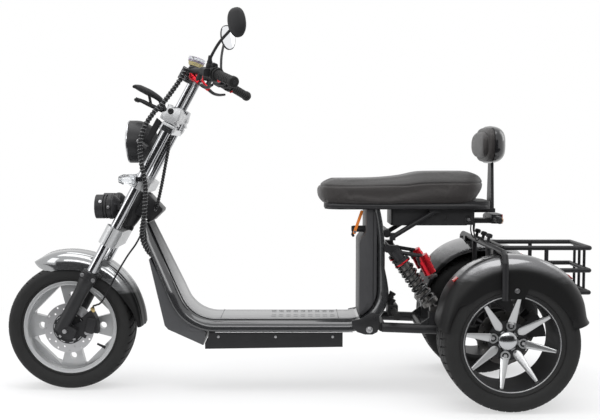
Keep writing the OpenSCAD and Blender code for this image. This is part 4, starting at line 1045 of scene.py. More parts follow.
def seam_height(x):
    """The ring seam runs nearly level, so it lies deeper below the passenger's part."""
    along = np.clip(((SEAT_FRONT - np.asarray(x)) / SEAT_LENGTH - 0.34) / 0.30, 0, 1)
    return seat_top(x) - 0.020 - 0.015 * along * along * (3 - 2 * along)


def seat_seam(p):
    """The ring seam under the top panel."""
    return groove(p[:, 2] - seam_height(p[:, 0]), 0.0026)


soften(seat)
crease(seat, seat_seam, 0.0028)
# Faces above the seam take the lighter copy of the leather: painted light on the top.
SEAT_PANEL = np.array([p.center[2] > seam_height(p.center[0]) for p in seat.data.polygons])
seat.data.polygons.foreach_set("material_index", SEAT_PANEL.astype(int).tolist())
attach(seat, "frame")
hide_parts("seat_cushion")

# %% [markdown]
# The backrest pad is a smaller cushion with a deep seam round its side. It could share the seat's shape, but
# its corners are round in the front view, so its rings run along X.

# %% Backrest pad
BACK_MIDDLE = np.array([-0.682, 0, 0.871])


def backrest_shape():
    """Superellipse rings along X: round corners in the front view and a rolled front edge."""
    along = np.concatenate([np.linspace(0, 0.5, 12, endpoint=False), np.linspace(0.5, 1, 18)])
    x = BACK_MIDDLE[0] + 0.038 * along
    roll = np.sqrt(1 - np.clip((along - 0.45) / 0.55, 0, 1) ** 2.6)
    return squared_rings(x, 0.098 + 0.014 * roll, 0.022 + 0.025 * roll, BACK_MIDDLE[2], (0.55, 0.62), 64)


back_piece = Piece("backrest_cushion", "", SEAT_LEATHER)
back_piece.add(backrest_shape())
back = back_piece.make()
stuffed(back, lambda p: p[:, 0] < BACK_MIDDLE[0] + 0.020, 0.004, 4.0)
soften(back)
crease(back, lambda p: groove(p[:, 0] - BACK_MIDDLE[0] - 0.0215, 0.0024), 0.0030)
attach(back, "frame")
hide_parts("backrest_pad")

# %% [markdown]
# Its shell is a moulded dome with a covered slab between it and the pad. A turned dome would be round in the
# front view; rings that shrink with depth keep the long shape.

# %% Backrest shell
def shell_shape():
    """Rings from the rim to the back: each ring shrinks as the cosine of its depth."""
    depth = np.linspace(0, np.pi / 2 - 0.03, 26)
    x = BACK_MIDDLE[0] - 0.0005 - 0.051 * np.sin(depth)
    grow = np.cos(depth) ** 0.62
    return squared_rings(x, 0.129 * grow, 0.0655 * grow, BACK_MIDDLE[2], (0.55, 0.68), 72)


def middle_layer():
    """A slab between pad and shell with a rolled front edge."""
    along = np.linspace(0, 1, 14)
    grow = np.sqrt(1 - 0.30 * np.clip((along - 0.45) / 0.55, 0, 1) ** 2.4)
    x = BACK_MIDDLE[0] + 0.021 * along
    return squared_rings(x, 0.122 * grow, 0.0600 * grow, BACK_MIDDLE[2], (0.55, 0.62), 72)


shell = Piece("backrest_dome", "frame", GLOSS_BLACK, SEAT_LEATHER)
shell.add(shell_shape())
shell.add(middle_layer(), finish=1)
shell.make("backrest_shell", sharp=50)

# %% [markdown]
# ## Fenders
# A fender is pressed sheet: a section carried round the wheel whose depth changes with the angle. A plain
# turned shell would miss the pointed nose, the round lower edge and the flared tail, so the section's
# half-width, depth and lift are functions of the angle. An inner copy of the skin gives it thickness.

# %% Front fender
def edge_radius(phi, drop, radius):
    """Distance from the axle to a circle that hangs lower by the drop."""
    return -drop * np.sin(phi) + np.sqrt(radius**2 - (drop * np.cos(phi))**2)


def skin(angle, y, r, centre, inward_y, inward_r):
    """Closes a shell: the outer grid from edge to edge, then the inner grid back."""
    def place(ys, rs):
        return np.stack([rs * np.cos(angle)[:, None], ys, rs * np.sin(angle)[:, None]], -1) + centre
    return np.concatenate([place(y, r), place(y + inward_y, r + inward_r)[:, ::-1]], 1)


def smoothstep(low, high, value):
    t = np.clip((value - low) / (high - low), 0, 1)
    return t * t * (3 - 2 * t)


def front_fender():
    """Half-width, lift and depth by angle; a power of sine and cosine rounds the shoulders."""
    degrees = np.concatenate([np.linspace(59, 90, 40, endpoint=False), np.linspace(90, 179, 70)])
    phi = np.radians(degrees)
    near_tip = np.clip((degrees - 59) / 30, 0, 1)
    half = 0.002 + 0.0728 * (1 - (1 - near_tip) ** 2) ** 0.6
    top = 0.272 - 0.006 * (1 - smoothstep(59, 80, degrees)) - 0.014 * smoothstep(105, 178, degrees)
    depth = (top - edge_radius(phi, 0.025, 0.2335)) * np.minimum(1, half / 0.055)
    depth *= 1 - 0.45 * smoothstep(150, 181, degrees)
    turn = np.linspace(-np.pi / 2, np.pi / 2, 61)
    across_share = np.sign(turn) * np.abs(np.sin(turn)) ** 0.62
    lift = 1 - np.abs(np.cos(turn)) ** 0.62
    y = half[:, None] * across_share
    r = top[:, None] - depth[:, None] * lift
    r += 0.0035 * np.exp(-(y / 0.006) ** 2) * smoothstep(62, 75, degrees)[:, None]
    r -= 0.0016 * np.exp(-((np.abs(y) - 0.052) / 0.003) ** 2) * smoothstep(80, 95, degrees)[:, None]
    inward_y = -0.0028 * across_share * np.minimum(1, half / 0.02)[:, None]
    return skin(phi, y, r, FRONT_AXLE, inward_y, -0.0028 * np.abs(np.cos(turn)) - 0.0002)


# Its finish fades to black low down: painted shade.
fender = Piece("fender_front", "steering", FENDER_GREY)
fender.add(front_fender())
fender.make("front_fender", sharp=50)

# %% [markdown]
# The rear fenders are wider. Their outer side drops as a valance over the tyre, a tab in its middle takes
# the hoop's bolt, and the tail kicks out. The same kind of section serves, with other functions of the angle.

# %% Rear fenders
FENDER_LINE = [(11, 0.2365), (28, 0.2500), (45, 0.2700), (65, 0.2850), (90, 0.2900), (118, 0.2900),
               (130, 0.2870), (147, 0.2740), (157, 0.2620), (161, 0.2590), (164, 0.2620)]


def rear_fender():
    """Arched section from the inner edge over the shoulder to the valance; lift and hang follow the angle."""
    degrees = np.concatenate([np.linspace(11, 76, 60, endpoint=False),
                              np.linspace(76, 104, 56, endpoint=False), np.linspace(104, 164, 64)])
    phi = np.radians(degrees)
    line = smooth_path(FENDER_LINE, 8)
    lift = np.interp(degrees, line[:, 0], line[:, 1])[:, None]
    hang = edge_radius(phi, 0.015, 0.206)
    tab = smoothstep(76.5, 79, degrees) * (1 - smoothstep(101, 103.5, degrees))
    hang = hang - tab * (hang - 0.152 / np.sin(phi))
    round_y = 0.056
    shoulder = np.linspace(0, np.pi / 2, 18)
    flat = np.linspace(0.146, 0.304, 24)
    y = np.concatenate([[0.142, 0.142, 0.1428], flat, 0.306 + round_y * np.sin(shoulder), np.full(18, 0.362)])
    arch = 0.024 * (1 - ((flat - 0.142) / 0.164)) ** 2
    drop = np.concatenate([[0.036, 0.027, 0.0245], arch, round_y * (1 - np.cos(shoulder))])
    front = smoothstep(11, 60, degrees)[:, None]
    r_crown = lift - drop[None, :] * (0.42 + 0.58 * front)
    low = r_crown[:, -1:]
    edge_line = low[:, 0] - 0.001
    end = edge_line + (np.minimum(hang, edge_line) - low[:, 0] + 0.001) * smoothstep(33, 47, degrees)
    tail = smoothstep(150, 164, degrees)
    end = end + (low[:, 0] - 0.012 - end) * smoothstep(156, 165, degrees)
    r = np.concatenate([r_crown, low + (end[:, None] - low) * np.linspace(0.03, 1, 18)], 1)
    y = np.broadcast_to(y, r.shape).copy()
    y += 0.006 * tail[:, None] ** 2 * smoothstep(0.30, 0.362, y)
    inward_r = np.concatenate([np.full(27, -0.003), -0.003 * np.cos(shoulder), np.zeros(18)])
    inward_y = np.concatenate([[0.003, 0.003, 0.002], np.zeros(24), -0.003 * np.sin(shoulder),
                               np.full(18, -0.003)])
    return skin(phi, y, r, np.array([REAR_X, 0, 0.225]), inward_y, inward_r)


# Their finish fades to black low down and on the outer flank: painted shade.
fenders = Piece("fenders_rear", "frame", FENDER_BLACK, RED_LENS, STEEL)
fenders.pair(rear_fender())
for degrees, width, lift in ((49, 0.034, 0.2775), (131, 0.034, 0.2895)):
    out = np.array([math.cos(math.radians(degrees)), 0, math.sin(math.radians(degrees))])
    along = np.array([-out[2], 0, out[0]])
    at = np.array([REAR_X, 0.296, 0.225]) + lift * out
    fenders.pair(plate(rounded(0.020, width, 0.003), at, along, (0, 1, 0), 0.004), finish=1)
for sign in (1, -1):
    bolt(fenders, (REAR_X - 0.006, sign * 0.3625, 0.404), (0, sign, 0), 0.009, 2)
fenders.make("rear_fenders", sharp=50)

# %% [markdown]
# ## Cables
# A loom hangs from the handlebar beside the steering head. It could be a plain tube, but the spiral wrap
# shows from a step away, so its radius swells along a helix. It runs between two bodies and rides on neither.

# %% Cables
def wrapped(path, radius, pitch, sides=16):
    """A tube whose radius swells by an eighth along a helix of the given pitch."""
    path = np.asarray(path, float)
    length = np.concatenate([[0], np.cumsum(np.linalg.norm(np.diff(path, axis=0), axis=1))])
    angle = np.linspace(0, 2 * np.pi, sides, endpoint=False)
    wave = np.cos(angle[None, :] - 2 * np.pi * length[:, None] / pitch)
    return tube(path, radius * (1 + 0.13 * np.clip(wave * 2.2, -1, 1)), sides)


def even(path, step):
    """Points at even distances along a path."""
    path = np.asarray(path, float)
    length = np.concatenate([[0], np.cumsum(np.linalg.norm(np.diff(path, axis=0), axis=1))])
    at = np.arange(0, length[-1], step)
    return np.stack([np.interp(at, length, path[:, k]) for k in range(3)], 1)


LOOM = [(0.371, 0.128, 1.128), (0.392, 0.128, 1.089), (0.447, 0.128, 1.015), (0.478, 0.128, 0.984),
        (0.509, 0.128, 0.940), (0.526, 0.128, 0.896), (0.530, 0.128, 0.849), (0.524, 0.128, 0.794),
        (0.515, 0.128, 0.746), (0.515, 0.122, 0.698), (0.519, 0.116, 0.647), (0.526, 0.104, 0.609),
        (0.534, 0.090, 0.568), (0.531, 0.078, 0.530), (0.514, 0.070, 0.495), (0.500, 0.062, 0.481)]
SECOND = [(0.440, 0.084, 0.915), (0.435, 0.080, 0.904), (0.442, 0.080, 0.849), (0.453, 0.080, 0.793),
          (0.464, 0.078, 0.738), (0.479, 0.066, 0.679), (0.490, 0.044, 0.650), (0.497, 0.036, 0.640)]
HOSE = [(0.712, 0.080, 0.296), (0.704, 0.098, 0.310), (0.688, 0.126, 0.318), (0.664, 0.133, 0.336),
        (0.611, 0.133, 0.433), (0.578, 0.130, 0.488), (0.552, 0.118, 0.526), (0.538, 0.096, 0.556)]


def spiral(path, radius, pitch):
    """A helix round a path: the path plus radius times (cos a, sin a); a grows with length."""
    length = np.concatenate([[0], np.cumsum(np.linalg.norm(np.diff(path, axis=0), axis=1))])
    arms = tube(path, radius, 4) - path[:, None, :]
    angle = 2 * np.pi * length[:, None] / pitch
    return path + np.cos(angle) * arms[:, 0] + np.sin(angle) * arms[:, 1]


def loom(name, points, radius, pitch, *replaced):
    """A wrapped loom with a pale line on its crest, a painted highlight, between the steering and the frame.
    """
    piece = Piece(name, "", CABLE, YOKE_SILVER)
    path = even(smooth_path(points, 24), 0.0011)
    piece.add(wrapped(path[::2], radius, pitch))
    # A thin pale line on the crest of the wrap: a painted highlight.
    piece.add(tube(spiral(path, radius * 1.06, pitch), 0.11 * radius, 6), finish=1)
    return piece.make(*replaced, sharp=60)


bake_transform(loom("loom_wrap", LOOM, 0.0082, 0.012, "cable_loom"))
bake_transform(loom("loom_thin", SECOND, 0.0056, 0.010))

hose = Piece("brake_hose", "", CABLE)
hose.add(tube(smooth_path(HOSE, 12), 0.0031, 10))
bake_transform(hose.make(sharp=50))

calliper = Piece("calliper_trim", "steering", MATT_BLACK, BRASS, CAST_BLACK, STEEL)
for sign in (1, -1):
    calliper.add(plate(rounded(0.062, 0.026, 0.011), on_fork(0.0175, sign * 0.120 + 0.0025, 0.204),
                       FORK_FORE, FORK_UP, 0.005, 0.001), finish=2)
    for fore in (-0.0035, 0.0385):
        bolt(calliper, on_fork(fore, sign * 0.1225, 0.204), (0, sign, 0), 0.0075, 3)
turned(calliper, [(0, -0.010), (0.0075, -0.010), (0.0075, 0.004), (0.0055, 0.006), (0, 0.007)], HOSE[0],
       (0.1, 0.35, 0.93), 6, 1)
for dx, dz in ((0.0, 0.026), (0.012, -0.020)):
    bolt(calliper, (0.722 + dx, 0.0842, 0.232 + dz), (0, 1, 0), 0.008, 3)
calliper.add(plate(rounded(0.034, 0.056, 0.010), (0.718, 0.092, 0.238), (0.97, 0, 0.25), (-0.25, 0, 0.97),
                   0.010, 0.003), finish=2)
calliper.make(sharp=50)

# %% [markdown]
# ## Lamps and clock
# Lamps are turned pieces: a shell, a bright bowl and a curved lens, each a profile of radius against depth.
# A clear lens with nothing behind it looks empty, so the bowl and the bulb are modelled too.

# %% Headlamp and clock
LAMP_Z = 0.882
lamp = Piece("headlamp_dome", "steering", CASE_BLACK, CHROME, STEEL)
lamp_middle = np.array([0.0, 0, LAMP_Z])
turned(lamp, [(0, 0.490), (0.020, 0.491), (0.040, 0.498), (0.056, 0.511), (0.068, 0.530), (0.0735, 0.549),
              (0.0750, 0.562), (0.0750, 0.585), (0.0700, 0.587), (0.0690, 0.580), (0.0500, 0.553),
              (0.0200, 0.538), (0, 0.536)], lamp_middle, (1, 0, 0), 72, 0)
turned(lamp, [(0.0683, 0.5800), (0.0560, 0.5620), (0.0300, 0.5440), (0.0, 0.5390), (0.0, 0.5375),
              (0.0300, 0.5425), (0.0565, 0.5605), (0.0688, 0.5785)], lamp_middle, (1, 0, 0), 72, 1)
ring_turn = full_turn(12)
turned(lamp, np.stack([0.0728 + 0.0030 * np.cos(ring_turn), 0.5875 + 0.0030 * np.sin(ring_turn)], 1),
       lamp_middle, (1, 0, 0), 96, 1, loop=True)
turned(lamp, [(0, 0.536), (0.012, 0.538), (0.012, 0.556), (0.008, 0.564), (0, 0.566)], lamp_middle,
       (1, 0, 0), 24, 2)
for sign in (1, -1):
    lamp.add(tube([(0.545, sign * 0.066, LAMP_Z), (0.528, sign * 0.084, 0.872),
                   (0.508, sign * 0.099, 0.858)], 0.0085, 12))
    bolt(lamp, (0.545, sign * 0.0735, LAMP_Z), (0, sign, 0), 0.009, 2)
lamp.make("headlamp_shell", sharp=40)

glass = Piece("headlamp_glass", "steering", CLEAR_LENS)
turned(glass, [(0, 0.6030), (0.025, 0.6018), (0.048, 0.5975), (0.0635, 0.5915), (0.0695, 0.5870),
               (0.0695, 0.5840), (0.060, 0.5885), (0.045, 0.5940), (0.024, 0.5980), (0, 0.5992)],
       lamp_middle, (1, 0, 0), 72)
glass.make("headlamp_lens", sharp=50)

CLOCK_AXIS = unit((-0.31, 0, 0.95))
clock_at = np.array([0.356, 0, 1.1470])
clock = Piece("clock", "steering", CASE_BLACK, CLOCK_VIOLET, CLOCK_YELLOW, FRAME_BLACK)
turned(clock, [(0, -0.024), (0.012, -0.024), (0.014, -0.010), (0.019, -0.003), (0.0215, 0.0005),
               (0, 0.0005)], clock_at, CLOCK_AXIS, 48, 0)
turned(clock, [(0.0120, 0.0140), (0.0255, 0.0140), (0.0262, 0.0200), (0.0240, 0.0215), (0.0120, 0.0215)],
       clock_at, CLOCK_AXIS, 48, 1, loop=True)
turned(clock, [(0, 0.0004), (0.0205, 0.0004), (0.0240, 0.0080), (0.0252, 0.0142), (0, 0.0142)], clock_at,
       CLOCK_AXIS, 48, 2)
clock.add(tube([clock_at - 0.03 * CLOCK_AXIS, (0.362, 0, 1.122), (0.368, 0, 1.110)], 0.0085, 14), finish=3)
clock.add(tube([(0.372, -0.085, 1.119), (0.370, 0, 1.119), (0.372, 0.085, 1.119)], 0.008, 14), finish=3)
clock.make("gauge", sharp=40)

dome = Piece("clock_dome", "steering", CLEAR_LENS)
turned(dome, [(0.0225, 0.0002), (0.0240, 0.0002), (0.0290, 0.0130), (0.0312, 0.0240), (0.0300, 0.0295),
              (0.0230, 0.0322), (0.0110, 0.0338), (0, 0.0342), (0, 0.0328), (0.0108, 0.0324),
              (0.0224, 0.0310), (0.0286, 0.0285), (0.0298, 0.0238), (0.0276, 0.0132)], clock_at, CLOCK_AXIS,
       48)
dome.make(sharp=50)

# %% [markdown]
# ## Mirrors
# Each mirror is a drop-shaped shell on a bent stalk. Rings of one outline shrink towards the middle while
# their depth follows a quarter ellipse, which gives the shell its dome; a flat plate of glass closes it.

# %% Mirrors
def drop_outline(steps):
    """An ellipse whose lower half narrows."""
    angle = np.linspace(0, 2 * np.pi, steps, endpoint=False)
    narrow = 1 - 0.16 * np.clip(-np.sin(angle), 0, 1) ** 2
    wide = signed_power(np.cos(angle), 0.78)
    return np.stack([0.0330 * wide * narrow, 0.0475 * signed_power(np.sin(angle), 0.9)], 1)


def mirror(piece, centre, normal, up, stalk):
    """Adds a shell, its glass and its stalk. The normal points out of the glass."""
    normal = unit(normal)
    up = unit(np.asarray(up) - normal * np.dot(up, normal))
    side = np.cross(up, normal)
    flat = drop_outline(56)
    shares = np.concatenate([[0.02], np.linspace(0.12, 0.96, 14), [1.0, 1.0, 0.97, 0.94, 0.92]])
    back = -0.016 * np.sqrt(np.clip(1 - shares**2, 0, 1))
    back[-5:] = (-0.001, 0.003, 0.0042, 0.0040, 0.0022)
    rings = [np.asarray(centre) + s * (flat[:, :1] * side + flat[:, 1:] * up) + d * normal for s,
             d in zip(shares, back)]
    piece.add(np.array(rings))
    disc = [np.asarray(centre) + s * (flat[:, :1] * side + flat[:, 1:] * up) + d * normal
            for s, d in ((0.93, 0.0016), (0.93, 0.0030), (0.90, 0.0036), (0.02, 0.0036))]
    piece.add(np.array(disc), finish=1)
    path = smooth_path(stalk, 6)
    piece.add(tube(path, 0.0048, 12))
    first = unit(path[1] - path[0])
    turned(piece, [(0, -0.006), (0.0115, -0.006), (0.0115, 0.004), (0.0085, 0.010), (0.0095, 0.014),
                   (0.0072, 0.020), (0.0060, 0.034), (0, 0.034)], path[0], first, 24)


mirrors = Piece("mirror_pair", "steering", MATT_BLACK, MIRROR)
mirror(mirrors, (0.186, 0.300, 1.257), (-0.46, -0.88, 0.05), (0.14, 0, 0.99),
       [(0.283, 0.215, 1.128), (0.278, 0.225, 1.152), (0.248, 0.256, 1.196), (0.214, 0.285, 1.228),
        (0.198, 0.296, 1.242)])
mirror(mirrors, (0.264, -0.300, 1.288), (-0.66, 0.75, 0.05), (0.20, 0, 0.98),
       [(0.283, -0.215, 1.128), (0.284, -0.222, 1.152), (0.285, -0.252, 1.206), (0.280, -0.282, 1.252),
        (0.274, -0.296, 1.272)])
mirrors.make("mirrors", sharp=40)

# %% [markdown]
# ## Handlebar fittings
# Small castings sit between the fork and the bar. They are extruded outlines with rolled edges, held by
# socket bolts, and turned rings dress the grips.

# %% Handlebar fittings
casting = Piece("bar_casting", "steering", YOKE_SILVER, STEEL, FRAME_BLACK)
CAST_LINE = [(0.0547, 0.8090), (0.0576, 0.8290), (0.0463, 0.8397), (0.0516, 0.8641), (0.0414, 0.8662),
             (0.0321, 0.8576), (0.0119, 0.8686), (0.0012, 0.8676), (-0.0077, 0.8303), (-0.0031, 0.8221),
             (-0.0128, 0.8126), (-0.0041, 0.8056), (0.0081, 0.8092), (0.0211, 0.8079), (0.0326, 0.8061)]
for y in (0.126, -0.074):
    casting.add(plate(CAST_LINE, on_fork(0, y, 0), FORK_FORE, FORK_UP, 0.052, 0.003))
    casting.add(plate(rounded(0.050, 0.022, 0.007), on_fork(0.016, y - 0.006, 0.795), FORK_FORE, FORK_UP,
                      0.040, 0.003))
casting.add(plate(rounded(0.046, 0.044, 0.012), on_fork(0.020, 0.074, 0.836), FORK_FORE, FORK_UP, 0.148,
                  0.004))
STRAP = [(0.0683, 0.8027), (0.0453, 0.7981), (0.0472, 0.7197), (0.0700, 0.7199)]
for y in (0.097, -0.093):
    casting.add(plate(STRAP, on_fork(0, y, 0), FORK_FORE, FORK_UP, 0.004, 0.001), finish=2)
for sign in (1, -1):
    bolt(casting, on_fork(0.032, sign * 0.1265, 0.846), (0, sign, 0), 0.011, 2)
    bolt(casting, on_fork(0.000, sign * 0.1265, 0.818), (0, sign, 0), 0.006, 1)
    for fore in (-0.002, 0.036):
        bolt(casting, on_fork(fore, sign * 0.100, 0.7845), -FORK_UP, 0.007, 1)
    for at, axis in (((0.648, sign * 0.106, 0.655), (0, sign, 0)),
                     ((0.676, sign * 0.100, 0.675), (0, sign, 0.3))):
        bolt(casting, at, axis, 0.006, 1)
    ring = [(0.0405, 0.640), (0.0440, 0.640), (0.0440, 0.648), (0.0405, 0.648)]
    turned(casting, ring, (0, sign * 0.062, 0.655), (1, 0, 0), 48, 2, loop=True)
casting.make(sharp=35)

BAR_BEND = np.array([0.283, 0.190, 1.113])
BAR_END = np.array([0.196, 0.338, 1.066])
BAR_WAY = unit(BAR_END - BAR_BEND)
fittings = Piece("bar_fittings", "steering", GRIP, RED_METAL, CAST_BLACK, STEEL)


def mirrored(vector):
    return np.asarray(vector, float) * (1, -1, 1)


for flip in (lambda v: np.asarray(v, float), mirrored):
    way = flip(BAR_WAY)
    turned(fittings, [(0.0125, -0.003), (0.0215, -0.002), (0.0225, 0.001), (0.0205, 0.004), (0.0125, 0.005)],
           flip(BAR_BEND + 0.062 * BAR_WAY), way, 40, 0, loop=True)
    turned(fittings, [(0, 0.012), (0.010, 0.0118), (0.0165, 0.010), (0.0185, 0.006), (0.0185, -0.004),
                      (0.0160, -0.006), (0, -0.006)], flip(BAR_END), way, 40, 0)
    turned(fittings, [(0, 0.0145), (0.0070, 0.0142), (0.0080, 0.011), (0, 0.010)], flip(BAR_END), way, 24, 2)
    body = [flip((0.356, 0.112, 1.106)), flip((0.346, 0.122, 1.098)), flip((0.338, 0.130, 1.091)),
            flip((0.324, 0.143, 1.078))]
    fittings.add(tube(smooth_path(body, 6), np.interp(np.arange(19), [0, 2, 3, 8, 9, 12, 18],
                                                      [0.009, 0.0125, 0.0125, 0.0125, 0.0105, 0.0100,
                                                       0.0085]), 20), finish=1)
    fittings.add(tube([flip((0.350, 0.116, 1.103)), flip((0.352, 0.114, 1.128))], 0.0110, 20), finish=1)
    turned(fittings, [(0, -0.002), (0.0122, -0.002), (0.0122, 0.004), (0.0100, 0.006), (0, 0.006)],
           flip((0.352, 0.114, 1.130)), (0, 0, 1), 24, 2)
    fittings.add(tube([flip((0.330, 0.138, 1.086)), flip((0.318, 0.150, 1.112))], 0.0090, 14), finish=2)
    lever = [flip((0.326, 0.142, 1.079)), flip((0.308, 0.158, 1.064)), flip((0.290, 0.190, 1.060)),
             flip((0.272, 0.235, 1.064))]
    fittings.add(tube(smooth_path(lever, 8), np.linspace(0.0065, 0.0045, 25), 12), finish=2)
    bolt(fittings, flip((0.318, 0.150, 1.0745)), flip((0.2, 0, 0.98)), 0.006, 3)
    turned(fittings, [(0, -0.004), (0.006, -0.004), (0.006, 0.004), (0.004, 0.006), (0, 0.0065)],
           flip((0.249, 0.246, 1.078)), flip((-0.3, 0.2, -0.9)), 20, 1)
fittings.make("brake_levers", sharp=35)

# %% [markdown]
# The phone holder is a spring clip with two jaws on a short stem. Its arms could be flat strips, but they
# swell in the middle, so each is a tube whose radius changes along a curve.

# %% Phone holder
holder = Piece("phone_clip", "steering", MATT_BLACK, GRIP)
for sign in (1, -1):
    y = 0.018 * sign
    holder.add(tube(smooth_path([(0.568, y, 1.077), (0.548, y, 1.070), (0.520, y, 1.056),
                                 (0.492, 0.7 * y, 1.040), (0.468, 0.3 * y, 1.020)], 6),
                    np.interp(np.arange(25), [0, 3, 6, 12, 18, 24],
                              [0.006, 0.0090, 0.0115, 0.0125, 0.0100, 0.0080]), 14))
    holder.add(tube(smooth_path([(0.563, y, 1.030), (0.545, y, 1.026), (0.515, y, 1.011),
                                 (0.472, 0.5 * y, 0.992)], 6), np.interp(np.arange(19), [0, 3, 10, 18],
                                                                         [0.0090, 0.0068, 0.0072, 0.0078]),
                    14))
for at in ((0.567, 0, 1.0745), (0.562, 0, 1.029), (0.520, 0, 1.050), (0.515, 0, 1.012)):
    holder.add(tube([np.array(at) - (0, 0.030, 0), np.array(at) + (0, 0.030, 0)], 0.0055, 12), finish=1)
holder.add(tube([(0.520, 0, 1.050), (0.513, 0, 1.012)], 0.0050, 12))
holder.add(tube(smooth_path([(0.478, 0, 1.028), (0.468, 0, 1.000), (0.452, 0, 0.978), (0.436, 0, 0.968)],
                            6), 0.0095, 16))
holder.make("phone_holder", sharp=50)

# %% [markdown]
# ## Seat column
# The column's front face steps back near the top, where the bag hook sits. Its side view is one outline with
# the rear bend cut out of it, and the extrusion's rolled edge makes the light line along the front corner.

# %% Seat column
def column_outline():
    """Side view: front face, step, top, back face and the arc of the ribbon's rear bend."""
    step = np.linspace(0, 1, 10)
    ease = step * step * (3 - 2 * step)
    front = np.stack([-0.2215 - 0.0245 * ease, 0.530 + 0.046 * step], 1)
    turn = np.linspace(np.pi, np.pi + math.acos(0.0415 / 0.1036), 24)
    bend = np.stack([-0.180 + 0.1036 * np.cos(turn), 0.366 + 0.1036 * np.sin(turn)], 1)
    return np.vstack([[(-0.2215, 0.285)], front, [(-0.246, 0.6475), (-0.2836, 0.6475)], bend])


column = Piece("seat_column", "frame", COLUMN_GREY, SEAM)
column.add(plate(column_outline()[::-1], (0, -0.098, 0), *SIDE_VIEW, -0.196, -0.005))
for sign in (1, -1):
    line = [(-0.2700, sign * 0.0984, z) for z in np.linspace(0.300, 0.645, 20)]
    column.add(tube(line, 0.0012, 8), finish=1)
column.make("column_cover", sharp=35)

# %% [markdown]
# ## Hook, plates and tail
# The bag hook is a black socket with an orange lever. Pivot plates carry the rear arm, a lock closes the
# battery, and wires run from the tail lamp to the hoop. Flat pieces are extruded outlines, round ones are
# turned and wires are tubes, each as the real piece is made.

# %% Hook, plates and tail
hook = Piece("hook", "frame", MATT_BLACK, ORANGE, STEEL)
turned(hook, [(0, -0.2495), (0.0115, -0.2495), (0.0115, -0.206), (0.0095, -0.198), (0, -0.197)],
       (0, 0.028, 0.574), (1, 0, 0), 28)
hook.add(tube([(-0.205, 0.028, 0.568), (-0.202, 0.028, 0.553), (-0.206, 0.028, 0.546)],
              [0.004, 0.0055, 0.004], 12))
lever_at = np.array([-0.2075, 0.042, 0.560])
lever_up = unit(np.array([-0.235, 0, 0.640]) - np.array([-0.2075, 0, 0.560]))
hook.add(plate(rounded(0.0105, 0.088, 0.004), lever_at + 0.040 * lever_up, np.cross((0, 1, 0), lever_up),
               lever_up, 0.004, 0.001), finish=1)
bolt(hook, lever_at + 0.004 * lever_up + (0, 0.001, 0), (0, 1, 0), 0.005, 2)
hook.make("bag_hook", sharp=35)

brackets = Piece("brackets", "frame", FRAME_BLACK, STEEL, CASE_BLACK)
pivot = [(-0.195, 0.262), (-0.197, 0.238), (-0.214, 0.222), (-0.240, 0.2135), (-0.266, 0.2130),
         (-0.284, 0.222), (-0.291, 0.245), (-0.291, 0.284), (-0.262, 0.290), (-0.225, 0.268)]
for sign in (1, -1):
    brackets.add(plate(pivot, (0, sign * 0.118 - 0.004, 0), *SIDE_VIEW, -0.008, -0.0015))
    bolt(brackets, (-0.256, sign * 0.1225, 0.231), (0, sign, 0), 0.0125, 1)
    bolt(brackets, (-0.277, sign * 0.1225, 0.272), (0, sign, 0), 0.007, 0)
brackets.add(plate(rounded(0.034, 0.042, 0.005), (-0.346, 0.050, 0.284), *SIDE_VIEW, 0.100, 0.002), finish=2)
for y, z in ((0.030, 0.312), (-0.030, 0.312), (0.030, 0.335)):
    turned(brackets, [(0, -0.012), (0.010, -0.012), (0.010, 0.006), (0.012, 0.006), (0.012, 0.014),
                      (0, 0.014)], (-0.340, y, z), (-0.5, 0, 0.86), 20, 2)
brackets.add(plate(rounded(0.050, 0.056, 0.004), (-0.598, 0.0838, 0.6195), *SIDE_VIEW, 0.1676, 0.002),
             finish=2)
lock = np.array([-0.602, 0.0842, 0.610])
for at, size in ((lock, 0.0135), (lock + (0.0, -0.1684, 0.0), 0.0135)):
    way = (0, 1 if at[1] > 0 else -1, 0)
    turned(brackets, [(0, -0.002), (size, -0.002), (size, 0.003), (0.82 * size, 0.005), (0.62 * size, 0.005),
                      (0.58 * size, 0.002), (0, 0.002)], at, way, 32, 2)
    turned(brackets, [(0, 0.001), (0.45 * size, 0.001), (0.40 * size, 0.0045), (0, 0.005)], at, way, 24, 1)
for y in (0.010, 0.098, -0.098):
    turned(brackets, [(0, -0.012), (0.0055, -0.012), (0.0055, 0.018), (0.0105, 0.019), (0.0115, 0.024),
                      (0.0105, 0.031), (0.006, 0.033), (0, 0.033)], (-0.666, y, 0.531), (-0.25, 0, 0.97),
           20, 0)
for z, half in ((0.512, 0.118), (0.562, 0.090)):
    brackets.add(tube([(-0.318, -half, z), (-0.318, half, z)], 0.014, 16))
for sign in (1, -1):
    rail = [(-0.112, sign * 0.098, 0.661), (-0.150, sign * 0.118, 0.660), (-0.300, sign * 0.123, 0.659),
            (-0.560, sign * 0.123, 0.659), (-0.640, sign * 0.108, 0.657), (-0.668, sign * 0.080, 0.656)]
    brackets.add(tube(smooth_path(rail, 8), 0.0095, 16))
for y, drop in ((0.020, 0.010), (0.034, 0.022), (-0.026, 0.016)):
    wire = [(-0.634, y, 0.600), (-0.630, y + 0.010, 0.580 - drop), (-0.638, y + 0.018, 0.556 - drop),
            (-0.652, y + 0.02, 0.545), (-0.664, y + 0.02, 0.532)]
    brackets.add(tube(smooth_path(wire, 8), 0.0024, 8), finish=2)
brackets.make(sharp=35)

# %% [markdown]
# The tray under the deck is a folded box whose front end laps over the deflector, with a bright line above.
# One outline in the side view, extruded across, gives that fold.

